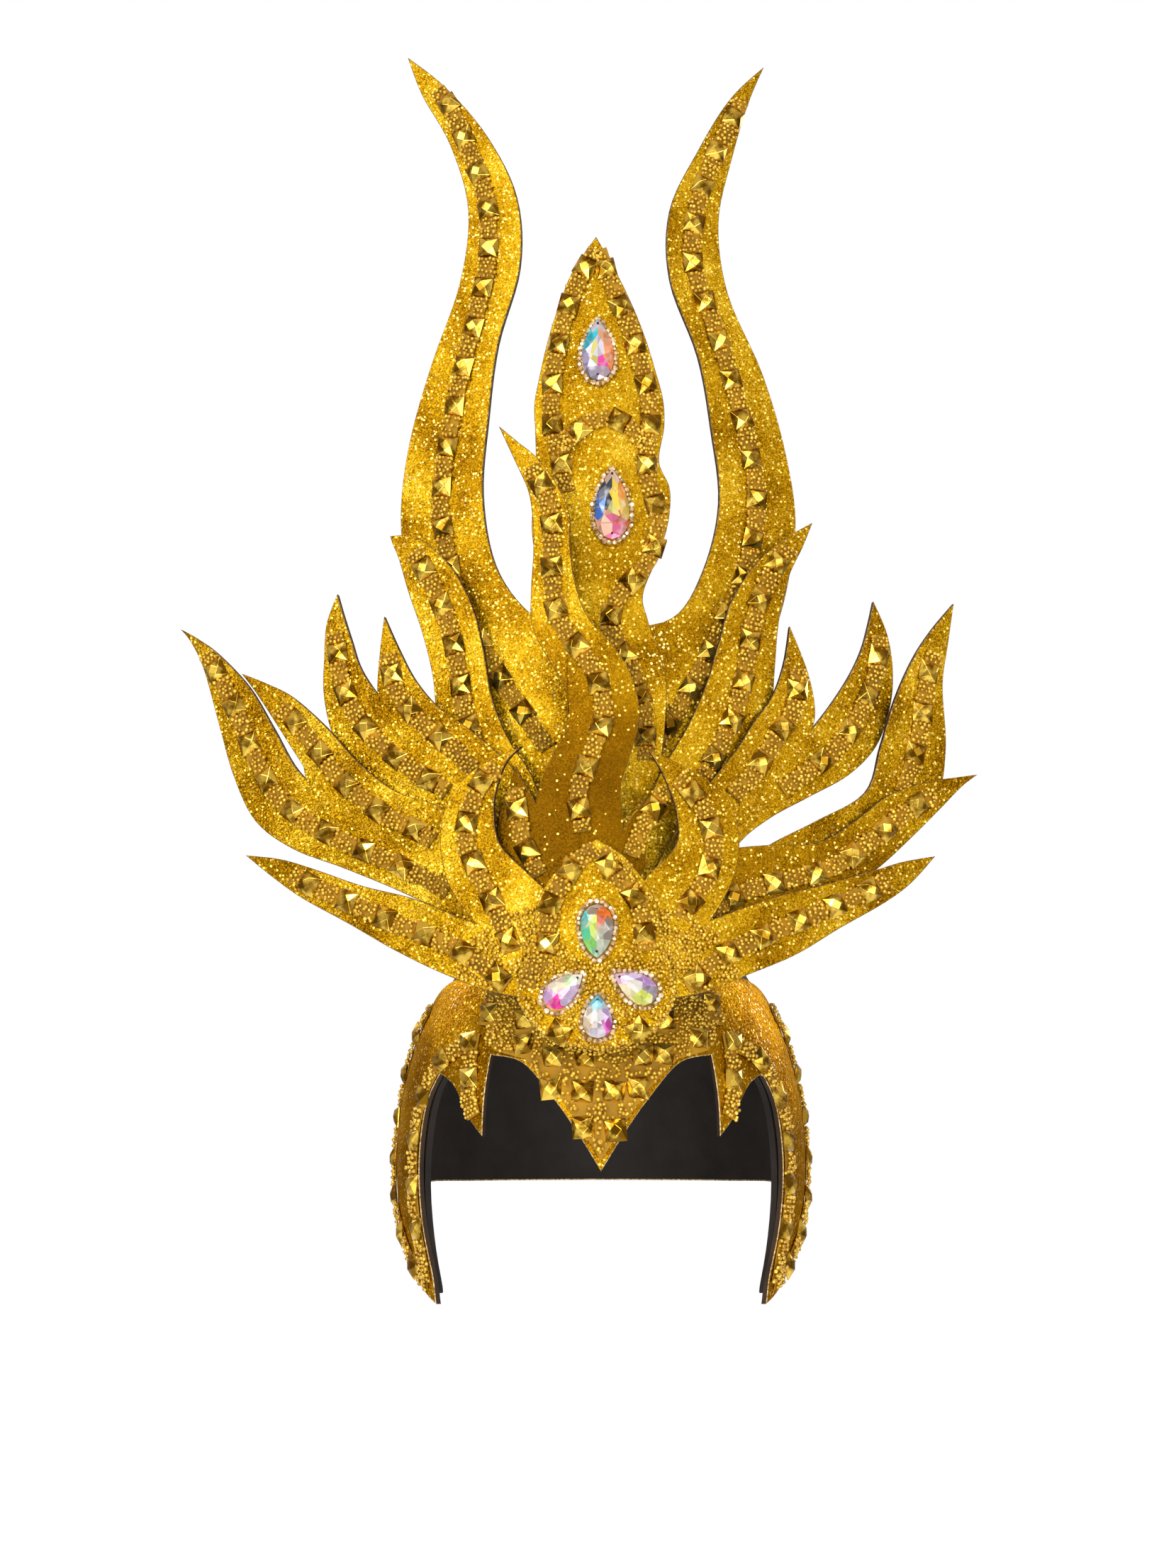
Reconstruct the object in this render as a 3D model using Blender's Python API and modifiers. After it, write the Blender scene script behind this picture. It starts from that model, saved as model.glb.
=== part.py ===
# Carnival crown: a foam helmet that carries seven layers of upright foam flames, with two tall
# horns at the back, bands of square studs along every flame and drop crystals on the centre.
# Metres, +Z up. The origin is where the top of the wearer's head meets the lining. The front
# faces -Y and the wearer's right side lies at -X.
import math
from collections import namedtuple

import bmesh
import bpy
from mathutils import Matrix, Vector, geometry

# Head room inside the lining: half width, half depth, and the height of the dome
HEAD_HALF_WIDTH = 0.0905
HEAD_HALF_DEPTH = 0.104
HEAD_HEIGHT = 0.130

# Foam sheets
LINING_FOAM = 0.003
SHEET_FOAM = 0.0025
WRAP_GAP = 0.0007
SEAT_GAP = 0.0003

# Stud bands: a thin strip with square studs raised on it
BAND_THICKNESS = 0.0005
BAND_WIDTH = 0.0086
STUD_SIDE = 0.0086
STUD_RISE = 0.0024
STUD_PITCH = 0.020
STUD_LEAD = 0.010
STUD_TABLE = 0.55

# Where the first stud lies on the bands that start otherwise
FLAP_FRONT_LEAD = 0.006
FLAP_REAR_LEAD = 0.014
CLAW_LEAD = 0.013
MEDALLION_LEFT_LEAD = 0.0148
MEDALLION_RIGHT_LEAD = 0.008
MEDALLION_LOW_LEAD = 0.005
SPEAR_ARCH_LEAD = 0.0135

# Steps between the studs on the bands where they stand closer
MEDALLION_PITCH = 0.0175
WING_LEFT_PITCH = 0.0196
WING_RIGHT_PITCH = 0.0180
INNER_HORN_LEFT_PITCH = 0.0192
INNER_HORN_RIGHT_PITCH = 0.0180

# How far round the centre flame's sheet reaches before the low flame's sheet takes over
CENTRE_REACH = 0.0200

# The layers of flames stand behind each other at one pitch, bowed round the head and raked back
LAYER_PLAY = 0.0008
FRONT_SETBACK = 0.0015
BOW_RADIUS = 0.14
BOW_SLOPE = 0.42
RAKE_DEGREES = 4.5
ROOT_HEIGHT = -0.030
FRONT_ROOT_HEIGHT = -0.047
HORN_ROOT_HEIGHT = -0.019

# Pads that hold the roots of the layers apart, and the block behind the horns
PAD_HALF_WIDTH = 0.024
PAD_HEIGHT = 0.020
REAR_BLOCK_HALF_WIDTH = 0.030
REAR_BLOCK_HEIGHT = 0.024
REAR_BLOCK_DEPTH = 0.024

# Straight steps of the bent sheets: short where the bow is tight, near the middle, and on the
# shell, in both directions. A corner that stands out less than the play is left out of an outline
OUTLINE_PLAY = 0.00025
NEAR_STEP = 0.012
NEAR_REACH = 0.036
FAR_STEP = 0.024
SHELL_STEP = 0.015

LINING_HALF_WIDTH = HEAD_HALF_WIDTH + LINING_FOAM
LINING_HALF_DEPTH = HEAD_HALF_DEPTH + LINING_FOAM
LINING_HEIGHT = HEAD_HEIGHT + LINING_FOAM
SHELL_OUTSET = LINING_FOAM + WRAP_GAP + SHEET_FOAM
SHELL_HALF_WIDTH = HEAD_HALF_WIDTH + SHELL_OUTSET
SHELL_HALF_DEPTH = HEAD_HALF_DEPTH + SHELL_OUTSET
SHELL_HEIGHT = HEAD_HEIGHT + SHELL_OUTSET
BAND_TOP = SEAT_GAP + BAND_THICKNESS
STUD_TOP = BAND_TOP + STUD_RISE
LAYER_PITCH = SHEET_FOAM + STUD_TOP + LAYER_PLAY
FRONT_PLANE = FRONT_SETBACK - SHELL_HALF_DEPTH
RAKE = math.tan(math.radians(RAKE_DEGREES))

# How far the lining and the gold shell reach down and round the head
FLAP_DROP = 0.1925
SHELL_WRAP = 0.158

# The lining's rim: degrees round from the front, and height as a share of the flap's drop
LINING_RIM = (
    (0, -0.36), (18, -0.36), (34, -0.37), (46, -0.40), (53, -0.46), (57, -0.53), (59, -0.68),
    (60, -0.84), (62, -0.96), (66, -0.97), (74, -0.92), (84, -0.81), (96, -0.74), (112, -0.72),
    (134, -0.72), (158, -0.72), (180, -0.72),
)
LINING_RINGS = 7

# The gold shell's edge from the brow's point outward, in runs that are smooth between sharp
# corners: share of the wrap round from the front, and of the flap's drop
SHELL_EDGE = (
    ((0.000, -0.684), (0.064, -0.600), (0.137, -0.520), (0.240, -0.437), (0.356, -0.417)),
    ((0.356, -0.417), (0.360, -0.510), (0.357, -0.605)),
    ((0.357, -0.605), (0.406, -0.566), (0.444, -0.525), (0.494, -0.483), (0.565, -0.457)),
    ((0.565, -0.457), (0.608, -0.516), (0.624, -0.582), (0.632, -0.683), (0.629, -0.816),
     (0.622, -0.930), (0.656, -1.000)),
    ((0.656, -1.000), (0.725, -0.971), (0.821, -0.894), (0.927, -0.779), (1.000, -0.634),
     (1.000, -0.494), (0.960, -0.364), (0.853, -0.260), (0.533, -0.218), (0.000, -0.234)),
)

# A flame's rows run from root to tip: share of its length, sideways sway as a share of its
# length, and width as a share of its breadth. Lean is in degrees from upright, + to +X
Blade = namedtuple("Blade", "foot_x foot_z length lean breadth rows")

HORN_LEFT = Blade(0.000, HORN_ROOT_HEIGHT, 0.441, -12.5, 0.030, (
    (0.00, -0.015, 0.75), (0.12, -0.005, 1.20), (0.22, -0.010, 2.05), (0.28, -0.015, 2.55),
    (0.31, -0.040, 2.15), (0.34, -0.060, 1.65), (0.40, -0.075, 1.40), (0.48, -0.070, 1.35),
    (0.56, -0.045, 1.30), (0.64, -0.010, 1.10), (0.72, 0.035, 1.00), (0.80, 0.055, 0.80),
    (0.88, 0.045, 0.60), (0.95, 0.020, 0.40), (1.00, 0.000, 0.00),
))
HORN_RIGHT = Blade(0.000, HORN_ROOT_HEIGHT, 0.431, 10.7, 0.030, (
    (0.00, 0.015, 0.65), (0.12, 0.010, 1.10), (0.22, 0.020, 1.95), (0.28, 0.025, 2.45),
    (0.31, 0.035, 2.40), (0.34, 0.070, 1.60), (0.40, 0.085, 1.35), (0.48, 0.085, 1.25),
    (0.56, 0.060, 1.20), (0.64, 0.025, 1.05), (0.72, -0.025, 0.95), (0.80, -0.045, 0.80),
    (0.88, -0.035, 0.55), (0.95, -0.020, 0.30), (1.00, 0.000, 0.00),
))
SPEAR = Blade(0.010, ROOT_HEIGHT, 0.339, -2.1, 0.058, (
    (0.00, -0.005, 0.30), (0.20, 0.015, 0.45), (0.35, 0.030, 0.50), (0.44, 0.005, 0.55),
    (0.48, -0.010, 0.65), (0.53, -0.015, 0.95), (0.58, -0.010, 1.10), (0.63, -0.005, 1.10),
    (0.67, -0.010, 1.00), (0.72, -0.005, 1.05), (0.76, -0.005, 1.05), (0.80, -0.005, 0.95),
    (0.85, -0.005, 0.80), (0.90, -0.005, 0.60), (0.95, -0.005, 0.35), (1.00, 0.000, 0.00),
))
UPPER_LEFT = Blade(-0.019, ROOT_HEIGHT, 0.211, -22.5, 0.026, (
    (0.00, 0.000, 0.65), (0.12, 0.010, 0.80), (0.24, 0.015, 1.00), (0.36, 0.010, 1.20),
    (0.46, 0.000, 1.10), (0.56, 0.005, 1.05), (0.66, 0.030, 1.00), (0.76, 0.045, 1.00),
    (0.86, 0.045, 0.90), (0.94, 0.035, 0.60), (0.98, 0.020, 0.35), (1.00, 0.000, 0.00),
))
UPPER_RIGHT = Blade(0.017, ROOT_HEIGHT, 0.218, 22.4, 0.030, (
    (0.00, 0.000, 0.50), (0.12, -0.020, 0.75), (0.24, -0.025, 1.00), (0.36, -0.010, 1.20),
    (0.46, 0.000, 1.15), (0.56, 0.000, 1.10), (0.66, -0.020, 0.95), (0.76, -0.040, 0.80),
    (0.86, -0.040, 0.55), (0.94, -0.020, 0.30), (1.00, 0.000, 0.00),
))
MIDDLE_LEFT_OUTER = Blade(-0.028, ROOT_HEIGHT, 0.193, -30.0, 0.030, (
    (0.00, 0.010, 0.45), (0.15, 0.025, 0.45), (0.30, 0.030, 0.55), (0.40, 0.005, 0.70),
    (0.50, -0.045, 1.10), (0.60, -0.085, 1.15), (0.70, -0.105, 0.95), (0.80, -0.095, 0.70),
    (0.88, -0.065, 0.50), (0.95, -0.035, 0.30), (1.00, 0.000, 0.00),
))
MIDDLE_LEFT_INNER = Blade(-0.022, ROOT_HEIGHT, 0.174, -27.2, 0.026, (
    (0.00, 0.005, 0.40), (0.15, 0.025, 0.65), (0.30, 0.040, 0.90), (0.45, 0.035, 1.10),
    (0.60, -0.005, 0.95), (0.70, -0.045, 0.85), (0.80, -0.060, 0.75), (0.90, -0.035, 0.40),
    (1.00, 0.000, 0.00),
))
MIDDLE_RIGHT_INNER = Blade(0.013, ROOT_HEIGHT, 0.167, 26.7, 0.026, (
    (0.00, 0.005, 0.50), (0.15, 0.020, 0.65), (0.30, 0.040, 0.85), (0.45, 0.065, 0.95),
    (0.60, 0.095, 0.95), (0.70, 0.105, 0.95), (0.80, 0.110, 0.85), (0.90, 0.070, 0.50),
    (1.00, 0.000, 0.00),
))
MIDDLE_RIGHT_OUTER = Blade(0.023, ROOT_HEIGHT, 0.195, 32.8, 0.030, (
    (0.00, 0.005, 0.45), (0.15, 0.005, 0.55), (0.30, 0.005, 0.50), (0.40, 0.030, 0.55),
    (0.50, 0.070, 0.70), (0.60, 0.105, 0.90), (0.70, 0.120, 0.95), (0.80, 0.110, 0.80),
    (0.88, 0.085, 0.60), (0.95, 0.045, 0.35), (1.00, 0.000, 0.00),
))
OUTER_LEFT_LOW = Blade(-0.028, ROOT_HEIGHT, 0.232, -48.3, 0.034, (
    (0.00, 0.000, 0.40), (0.10, -0.020, 0.55), (0.20, -0.040, 0.60), (0.30, -0.065, 0.65),
    (0.40, -0.095, 0.70), (0.50, -0.120, 0.85), (0.60, -0.125, 0.90), (0.70, -0.090, 0.85),
    (0.80, -0.045, 0.65), (0.90, -0.010, 0.30), (0.96, 0.000, 0.10), (1.00, 0.000, 0.00),
))
OUTER_LEFT_HIGH = Blade(-0.028, ROOT_HEIGHT, 0.193, -47.4, 0.030, (
    (0.00, 0.005, 0.40), (0.12, 0.005, 0.60), (0.25, 0.010, 0.85), (0.38, 0.005, 1.00),
    (0.50, -0.025, 0.80), (0.62, -0.030, 0.75), (0.74, -0.010, 0.65), (0.86, 0.005, 0.45),
    (0.94, 0.005, 0.20), (1.00, 0.000, 0.00),
))
OUTER_RIGHT_HIGH = Blade(0.026, ROOT_HEIGHT, 0.217, 40.7, 0.034, (
    (0.00, 0.000, 0.40), (0.15, 0.055, 0.60), (0.30, 0.105, 0.85), (0.42, 0.150, 0.85),
    (0.54, 0.185, 0.80), (0.64, 0.165, 1.05), (0.74, 0.115, 0.95), (0.84, 0.055, 0.55),
    (0.92, 0.025, 0.30), (1.00, 0.000, 0.00),
))
OUTER_RIGHT_LOW = Blade(0.026, ROOT_HEIGHT, 0.171, 61.5, 0.034, (
    (0.00, 0.000, 0.35), (0.12, 0.000, 0.85), (0.25, -0.010, 1.20), (0.38, 0.015, 1.05),
    (0.50, 0.040, 0.75), (0.62, 0.030, 0.70), (0.74, 0.005, 0.65), (0.86, -0.005, 0.40),
    (0.94, -0.005, 0.15), (1.00, 0.000, 0.00),
))
CENTRE_TALL = Blade(-0.003, ROOT_HEIGHT, 0.244, -10.5, 0.034, (
    (0.00, 0.000, 0.90), (0.10, 0.005, 1.00), (0.20, 0.015, 1.10), (0.27, 0.020, 1.15),
    (0.33, 0.050, 1.15), (0.40, 0.090, 1.00), (0.47, 0.095, 0.90), (0.53, 0.075, 0.90),
    (0.60, 0.045, 0.75), (0.67, 0.045, 0.60), (0.74, 0.055, 0.50), (0.80, 0.065, 0.50),
    (0.86, 0.060, 0.40), (0.92, 0.040, 0.30), (0.96, 0.020, 0.15), (1.00, 0.000, 0.00),
))
CENTRE_LOBE_LEFT = Blade(-0.006, ROOT_HEIGHT, 0.086, -22.4, 0.024, (
    (0.00, -0.060, 0.85), (0.28, -0.080, 0.80), (0.45, -0.105, 0.85), (0.63, -0.110, 0.90),
    (0.77, -0.080, 0.75), (0.89, -0.040, 0.35), (1.00, 0.000, 0.00),
))
CENTRE_LOBE_RIGHT = Blade(0.001, ROOT_HEIGHT, 0.080, 22.1, 0.020, (
    (0.00, 0.000, 0.60), (0.28, -0.030, 0.75), (0.45, -0.035, 0.75), (0.63, -0.035, 0.75),
    (0.77, -0.020, 0.65), (0.89, -0.010, 0.45), (1.00, 0.000, 0.00),
))
WING_LEFT = Blade(-0.009, FRONT_ROOT_HEIGHT, 0.166, -69.1, 0.026, (
    (0.00, 0.000, 1.00), (0.20, -0.035, 1.05), (0.35, -0.040, 1.00), (0.50, -0.030, 0.95),
    (0.65, -0.025, 0.70), (0.80, -0.015, 0.55), (0.90, -0.005, 0.35), (1.00, 0.000, 0.00),
))
WING_RIGHT = Blade(0.007, FRONT_ROOT_HEIGHT, 0.158, 68.3, 0.026, (
    (0.00, 0.000, 1.00), (0.20, 0.035, 1.10), (0.35, 0.035, 1.10), (0.50, 0.035, 1.05),
    (0.65, 0.030, 0.80), (0.80, 0.025, 0.60), (0.90, 0.015, 0.40), (1.00, 0.000, 0.00),
))
INNER_HORN_LEFT = Blade(-0.018, FRONT_ROOT_HEIGHT, 0.106, -9.7, 0.030, (
    (0.00, -0.025, 1.00), (0.15, -0.070, 1.15), (0.30, -0.135, 1.30), (0.45, -0.225, 1.20),
    (0.60, -0.285, 0.90), (0.75, -0.275, 0.80), (0.86, -0.225, 0.70), (0.95, -0.135, 0.45),
    (1.00, 0.000, 0.00),
))
INNER_HORN_RIGHT = Blade(0.013, FRONT_ROOT_HEIGHT, 0.102, 5.0, 0.030, (
    (0.00, 0.030, 1.05), (0.15, 0.085, 1.15), (0.30, 0.145, 1.30), (0.45, 0.220, 1.25),
    (0.60, 0.290, 0.95), (0.75, 0.270, 0.90), (0.86, 0.210, 0.80), (0.95, 0.105, 0.45),
    (1.00, 0.000, 0.00),
))

# Rows of a band that doesn't run down its flame's middle: share of length, sway
WING_LEFT_BAND = (
    (0.852, -0.005), (0.793, -0.015), (0.654, -0.025), (0.521, -0.034), (0.406, -0.037),
    (0.295, -0.051), (0.205, -0.077), (0.175, -0.086),
)
WING_RIGHT_BAND = (
    (0.833, 0.013), (0.769, 0.025), (0.629, 0.031), (0.519, 0.036), (0.406, 0.041),
    (0.293, 0.052), (0.202, 0.086), (0.171, 0.093),
)
INNER_HORN_LEFT_BAND = (
    (0.923, -0.111), (0.880, -0.194), (0.686, -0.293), (0.524, -0.274), (0.336, -0.218),
    (0.190, -0.188), (0.142, -0.180),
)
INNER_HORN_RIGHT_BAND = (
    (0.895, 0.125), (0.822, 0.215), (0.661, 0.306), (0.470, 0.293), (0.324, 0.215),
    (0.280, 0.198),
)
HORN_LEFT_BAND = (
    (0.95, 0.025), (0.92, 0.035), (0.85, 0.046), (0.80, 0.050), (0.74, 0.038), (0.69, 0.017),
    (0.60, -0.026), (0.50, -0.065), (0.44, -0.074), (0.37, -0.072), (0.30, -0.055),
    (0.25, -0.038), (0.19, -0.015),
)
HORN_RIGHT_BAND = (
    (0.95, -0.018), (0.91, -0.028), (0.85, -0.041), (0.79, -0.044), (0.74, -0.035),
    (0.65, 0.015), (0.55, 0.062), (0.48, 0.083), (0.40, 0.082), (0.35, 0.070), (0.30, 0.058),
    (0.25, 0.042), (0.17, 0.012),
)

# The medallion: its half width down from the point, as shares of width and of height
MEDALLION_MIDDLE = -0.002
MEDALLION_TOP = 0.0144
MEDALLION_HEIGHT = 0.094
MEDALLION_WIDTH = 0.072
MEDALLION_ROWS = (
    (0.000, 0.000), (0.070, 0.150), (0.145, 0.237), (0.210, 0.302), (0.310, 0.362),
    (0.450, 0.390), (0.560, 0.425), (0.670, 0.470), (0.740, 0.475), (0.810, 0.440),
    (0.900, 0.345), (0.960, 0.225), (1.000, 0.000),
)
MEDALLION_LEFT_BAND = (
    (0.045, 0.007), (0.090, 0.087), (0.147, 0.158), (0.235, 0.227), (0.325, 0.284),
    (0.430, 0.297), (0.525, 0.302), (0.590, 0.350), (0.655, 0.408), (0.705, 0.417),
)
MEDALLION_RIGHT_BAND = (
    (0.050, 0.028), (0.128, 0.074), (0.200, 0.163), (0.282, 0.236), (0.370, 0.278),
    (0.469, 0.290), (0.530, 0.303),
)
MEDALLION_LOW_LEFT_BAND = ((0.882, 0.276), (0.912, 0.222), (0.936, 0.170))
MEDALLION_LOW_RIGHT_BAND = ((0.868, 0.300), (0.897, 0.245), (0.924, 0.190))

# The spear's border bands, as shares of its length up from the root and of its breadth
SPEAR_BAND_LEFT = (
    (0.980, -0.01), (0.950, -0.11), (0.915, -0.21), (0.870, -0.30), (0.820, -0.37),
    (0.770, -0.41), (0.725, -0.41), (0.680, -0.36), (0.630, -0.33),
)
SPEAR_BAND_RIGHT = (
    (0.980, 0.02), (0.950, 0.07), (0.915, 0.14), (0.870, 0.23), (0.820, 0.31), (0.770, 0.37),
    (0.725, 0.38), (0.680, 0.34), (0.640, 0.35), (0.590, 0.41), (0.530, 0.33), (0.475, 0.06),
    (0.430, 0.00), (0.380, 0.14), (0.320, 0.23), (0.250, 0.24),
)
SPEAR_BAND_ARCH = ((0.690, -0.36), (0.722, -0.17), (0.733, 0.02), (0.722, 0.20), (0.690, 0.36))

# Drop crystals: where the middle lies, the stone's size, the turn of its point from upright in
# degrees, and the width of its ring of small stones
Drop = namedtuple("Drop", "name x z length width turn ring")
MEDALLION_DROPS = (
    Drop("crystal_top", -0.0018, -0.0270, 0.0235, 0.0145, 180, 0.0025),
    Drop("crystal_left", -0.0158, -0.0530, 0.0205, 0.0125, 51, 0.0024),
    Drop("crystal_right", 0.0145, -0.0515, 0.0210, 0.0128, -61, 0.0024),
    Drop("crystal_bottom", -0.0015, -0.0648, 0.0190, 0.0130, 0, 0.0022),
)
SPEAR_DROPS = (
    Drop("spear_crystal_high", -0.0015, 0.2515, 0.0270, 0.0120, 0, 0.0034),
    Drop("spear_crystal_low", 0.0050, 0.1760, 0.0320, 0.0145, 0, 0.0030),
)
DROP_SIDES = 12
DROP_WIDEST = 0.77
DROP_MIDDLE = -0.08
RING_ENDS = 1.3
RING_HEIGHT = 0.0016
STONE_GIRDLE = 0.0006
STONE_CROWN = 0.0018
STONE_TABLE = 0.55

# The brow's field of studs, as shares of the shell's wrap and of the flap's drop: its half
# outline, and the studs on each side of the middle
FIELD_EDGE = (
    (0.000, -0.660), (0.058, -0.583), (0.130, -0.503), (0.232, -0.428), (0.340, -0.408),
    (0.380, -0.384), (0.390, -0.348), (0.428, -0.345), (0.432, -0.268),
)
FIELD_STUDS = (
    (-0.144, -0.426), (-0.046, -0.426), (0.123, -0.423), (0.188, -0.420), (-0.145, -0.496),
    (-0.054, -0.504), (0.036, -0.504), (0.106, -0.496), (-0.050, -0.585), (0.040, -0.592),
    (-0.249, -0.339), (-0.394, -0.320), (-0.243, -0.396), (0.210, -0.339), (0.317, -0.381),
    (0.400, -0.297),
)
# The bands down the shell's sides: along the flap's front edge, its rear edge, and the claw
FLAP_FRONT_BAND = (
    (0.412, -0.385), (0.450, -0.388), (0.500, -0.402), (0.560, -0.424), (0.612, -0.472),
    (0.642, -0.530), (0.658, -0.600), (0.665, -0.690), (0.662, -0.800), (0.655, -0.880),
    (0.665, -0.945),
)
FLAP_REAR_BAND = (
    (0.668, -0.950), (0.730, -0.920), (0.800, -0.862), (0.893, -0.765), (0.968, -0.634),
    (0.968, -0.500), (0.930, -0.385), (0.835, -0.295),
)
CLAW_BAND = ((0.430, -0.405), (0.427, -0.450), (0.418, -0.492), (0.402, -0.535), (0.388, -0.560))

GLITTER_FOAM = ("glitter_foam", (0.62, 0.36, 0.03), 0.45, 0.6)
BLACK_FOAM = ("black_foam", (0.012, 0.011, 0.011), 0.85, 0.0)
STUD_METAL = ("stud_metal", (0.70, 0.50, 0.12), 0.18, 1.0)
CRYSTAL = ("crystal_stone", (0.80, 0.78, 0.82), 0.05, 0.2)


def clear_scene():
    for thing in list(bpy.data.objects):
        bpy.data.objects.remove(thing, do_unlink=True)


def new_collection(name, hidden=False):
    collection = bpy.data.collections.new(name)
    collection.hide_render = hidden
    bpy.context.scene.collection.children.link(collection)
    return collection


def material_of(spec):
    name, colour, roughness, metallic = spec
    found = bpy.data.materials.get(name)
    if found:
        return found
    made = bpy.data.materials.new(name)
    made.use_nodes = True
    shader = made.node_tree.nodes["Principled BSDF"]
    shader.inputs["Base Color"].default_value = (*colour, 1.0)
    shader.inputs["Roughness"].default_value = roughness
    shader.inputs["Metallic"].default_value = metallic
    made.diffuse_color = (*colour, 1.0)
    return made


def object_from(bm, name, collection, material):
    bmesh.ops.recalc_face_normals(bm, faces=bm.faces[:])
    mesh = bpy.data.meshes.new(name)
    bm.to_mesh(mesh)
    bm.free()
    mesh.materials.append(material_of(material))
    thing = bpy.data.objects.new(name, mesh)
    collection.objects.link(thing)
    return thing


# A smooth curve through the points, with a given number of steps between each two
def smooth_through(points, steps):
    last = len(points) - 1
    curve = []
    for i in range(last):
        before, start, end, after = (
            Vector(points[min(max(k, 0), last)]) for k in (i - 1, i, i + 1, i + 2)
        )
        for step in range(steps):
            t = step / steps
            curve.append(
                0.5 * (
                    2 * start
                    + (end - before) * t
                    + (2 * before - 5 * start + 4 * end - after) * t * t
                    + (3 * start - before - 3 * end + after) * t * t * t
                )
            )
    curve.append(Vector(points[last]))
    return curve


# The points without those that hardly stand out from their neighbours' line
def without_flat_corners(points):
    kept = [points[0]]
    for point, after in zip(points[1:], points[2:]):
        line = after - kept[-1]
        if abs(line.cross(point - kept[-1])) > OUTLINE_PLAY * line.length:
            kept.append(point)
    return kept + [points[-1]]


# The point of a flame's plane at a share of its length, moved sideways by metres
def blade_point(blade, along, sideways):
    lean = math.radians(blade.lean)
    up = along * blade.length
    return Vector((
        blade.foot_x + up * math.sin(lean) + sideways * math.cos(lean),
        blade.foot_z + up * math.cos(lean) - sideways * math.sin(lean),
    ))


def blade_outline(blade, steps=2):
    left, right = [], []
    for along, sway, width in smooth_through(blade.rows, steps):
        middle = sway * blade.length
        half = max(width, 0.0) * blade.breadth / 2
        left.append(blade_point(blade, along, middle - half))
        right.append(blade_point(blade, along, middle + half))
    return without_flat_corners(right) + without_flat_corners(left)[-2::-1]


# The middle line of a flame from a share near its tip down to one near its root
def blade_spine(blade, high, low):
    rows = [(along, sway) for along, sway, _ in smooth_through(blade.rows, 4)]
    inside = [row for row in reversed(rows) if low <= row[0] <= high]
    return [blade_point(blade, along, sway * blade.length) for along, sway in inside]


def band_path(blade, rows, unit):
    return [blade_point(blade, along, side * unit) for along, side in smooth_through(rows, 4)]


def point_at(path, distance):
    for start, end in zip(path, path[1:]):
        step = (end - start).length
        if distance <= step or end is path[-1]:
            heading = (end - start).normalized()
            return start + heading * distance, heading
        distance -= step


# A strip of even width along a path, with square studs on it: its outline and the studs' corners
def studded_strip(path, lead=STUD_LEAD, pitch=STUD_PITCH):
    total = sum((b - a).length for a, b in zip(path, path[1:]))
    count = max(1, int((total - lead - STUD_SIDE / 2) / pitch) + 1)
    middles = [lead + i * pitch for i in range(count)]
    stations = [0.0]
    for middle in middles:
        stations += [middle - STUD_SIDE / 2, middle + STUD_SIDE / 2]
    stations.append(total)
    left, right = [], []
    for distance in stations:
        point, heading = point_at(path, distance)
        side = Vector((heading.y, -heading.x)) * BAND_WIDTH / 2
        left.append(point - side)
        right.append(point + side)
    studs = []
    for near in range(1, 1 + 2 * count, 2):
        studs.append([left[near], right[near], right[near + 1], left[near + 1]])
    return right + left[::-1], studs


def square_at(x, z):
    half = STUD_SIDE / 2
    return [Vector((x + i * half, z + j * half)) for i, j in ((-1, -1), (1, -1), (1, 1), (-1, 1))]


# A layer's face: bowed round the head in plan and raked back as it rises
def layer_surface(layer):
    front = FRONT_PLANE + (layer - 1) * LAYER_PITCH
    flat = BOW_RADIUS * BOW_SLOPE ** 2

    def place(x, z, height):
        reach = math.hypot(BOW_SLOPE * x, flat)
        normal = Vector((BOW_SLOPE ** 2 * x / reach, -1.0, RAKE)).normalized()
        y = front + reach - flat + RAKE * (z - ROOT_HEIGHT)
        return Vector((x, y, z)) + normal * height

    return place


# The gold shell's face: distance round the head from the front, and height
def shell_surface(around, z, height):
    turn = around / SHELL_HALF_WIDTH
    level = (z + HEAD_HEIGHT) / (SHELL_HEIGHT + height)
    spread = math.sqrt(max(0.0, 1.0 - level * level))
    return Vector((
        (SHELL_HALF_WIDTH + height) * spread * math.sin(turn),
        -(SHELL_HALF_DEPTH + height) * spread * math.cos(turn),
        z,
    ))


# The loop in the turning sense that the triangulation needs
def anticlockwise(loop):
    doubled = sum(a.x * b.y - b.x * a.y for a, b in zip(loop, loop[1:] + loop[:1]))
    return loop if doubled > 0 else loop[::-1]


def bow_columns(low, high):
    near = [i * NEAR_STEP for i in range(round(NEAR_REACH / NEAR_STEP) + 1)]
    far = [NEAR_REACH + i * FAR_STEP for i in range(1, int(1.0 / FAR_STEP))]
    places = {side * place for place in near + far for side in (-1, 1)}
    return sorted(place for place in places if low < place < high)


def even_columns(low, high):
    return [i * SHELL_STEP for i in range(math.ceil(low / SHELL_STEP), int(high / SHELL_STEP) + 1)]


def no_lines(low, high):
    return []


def inside_limits(points, limits):
    middle = sum(point.x for point in points) / len(points)
    return limits[0] < middle < limits[1]


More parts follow.
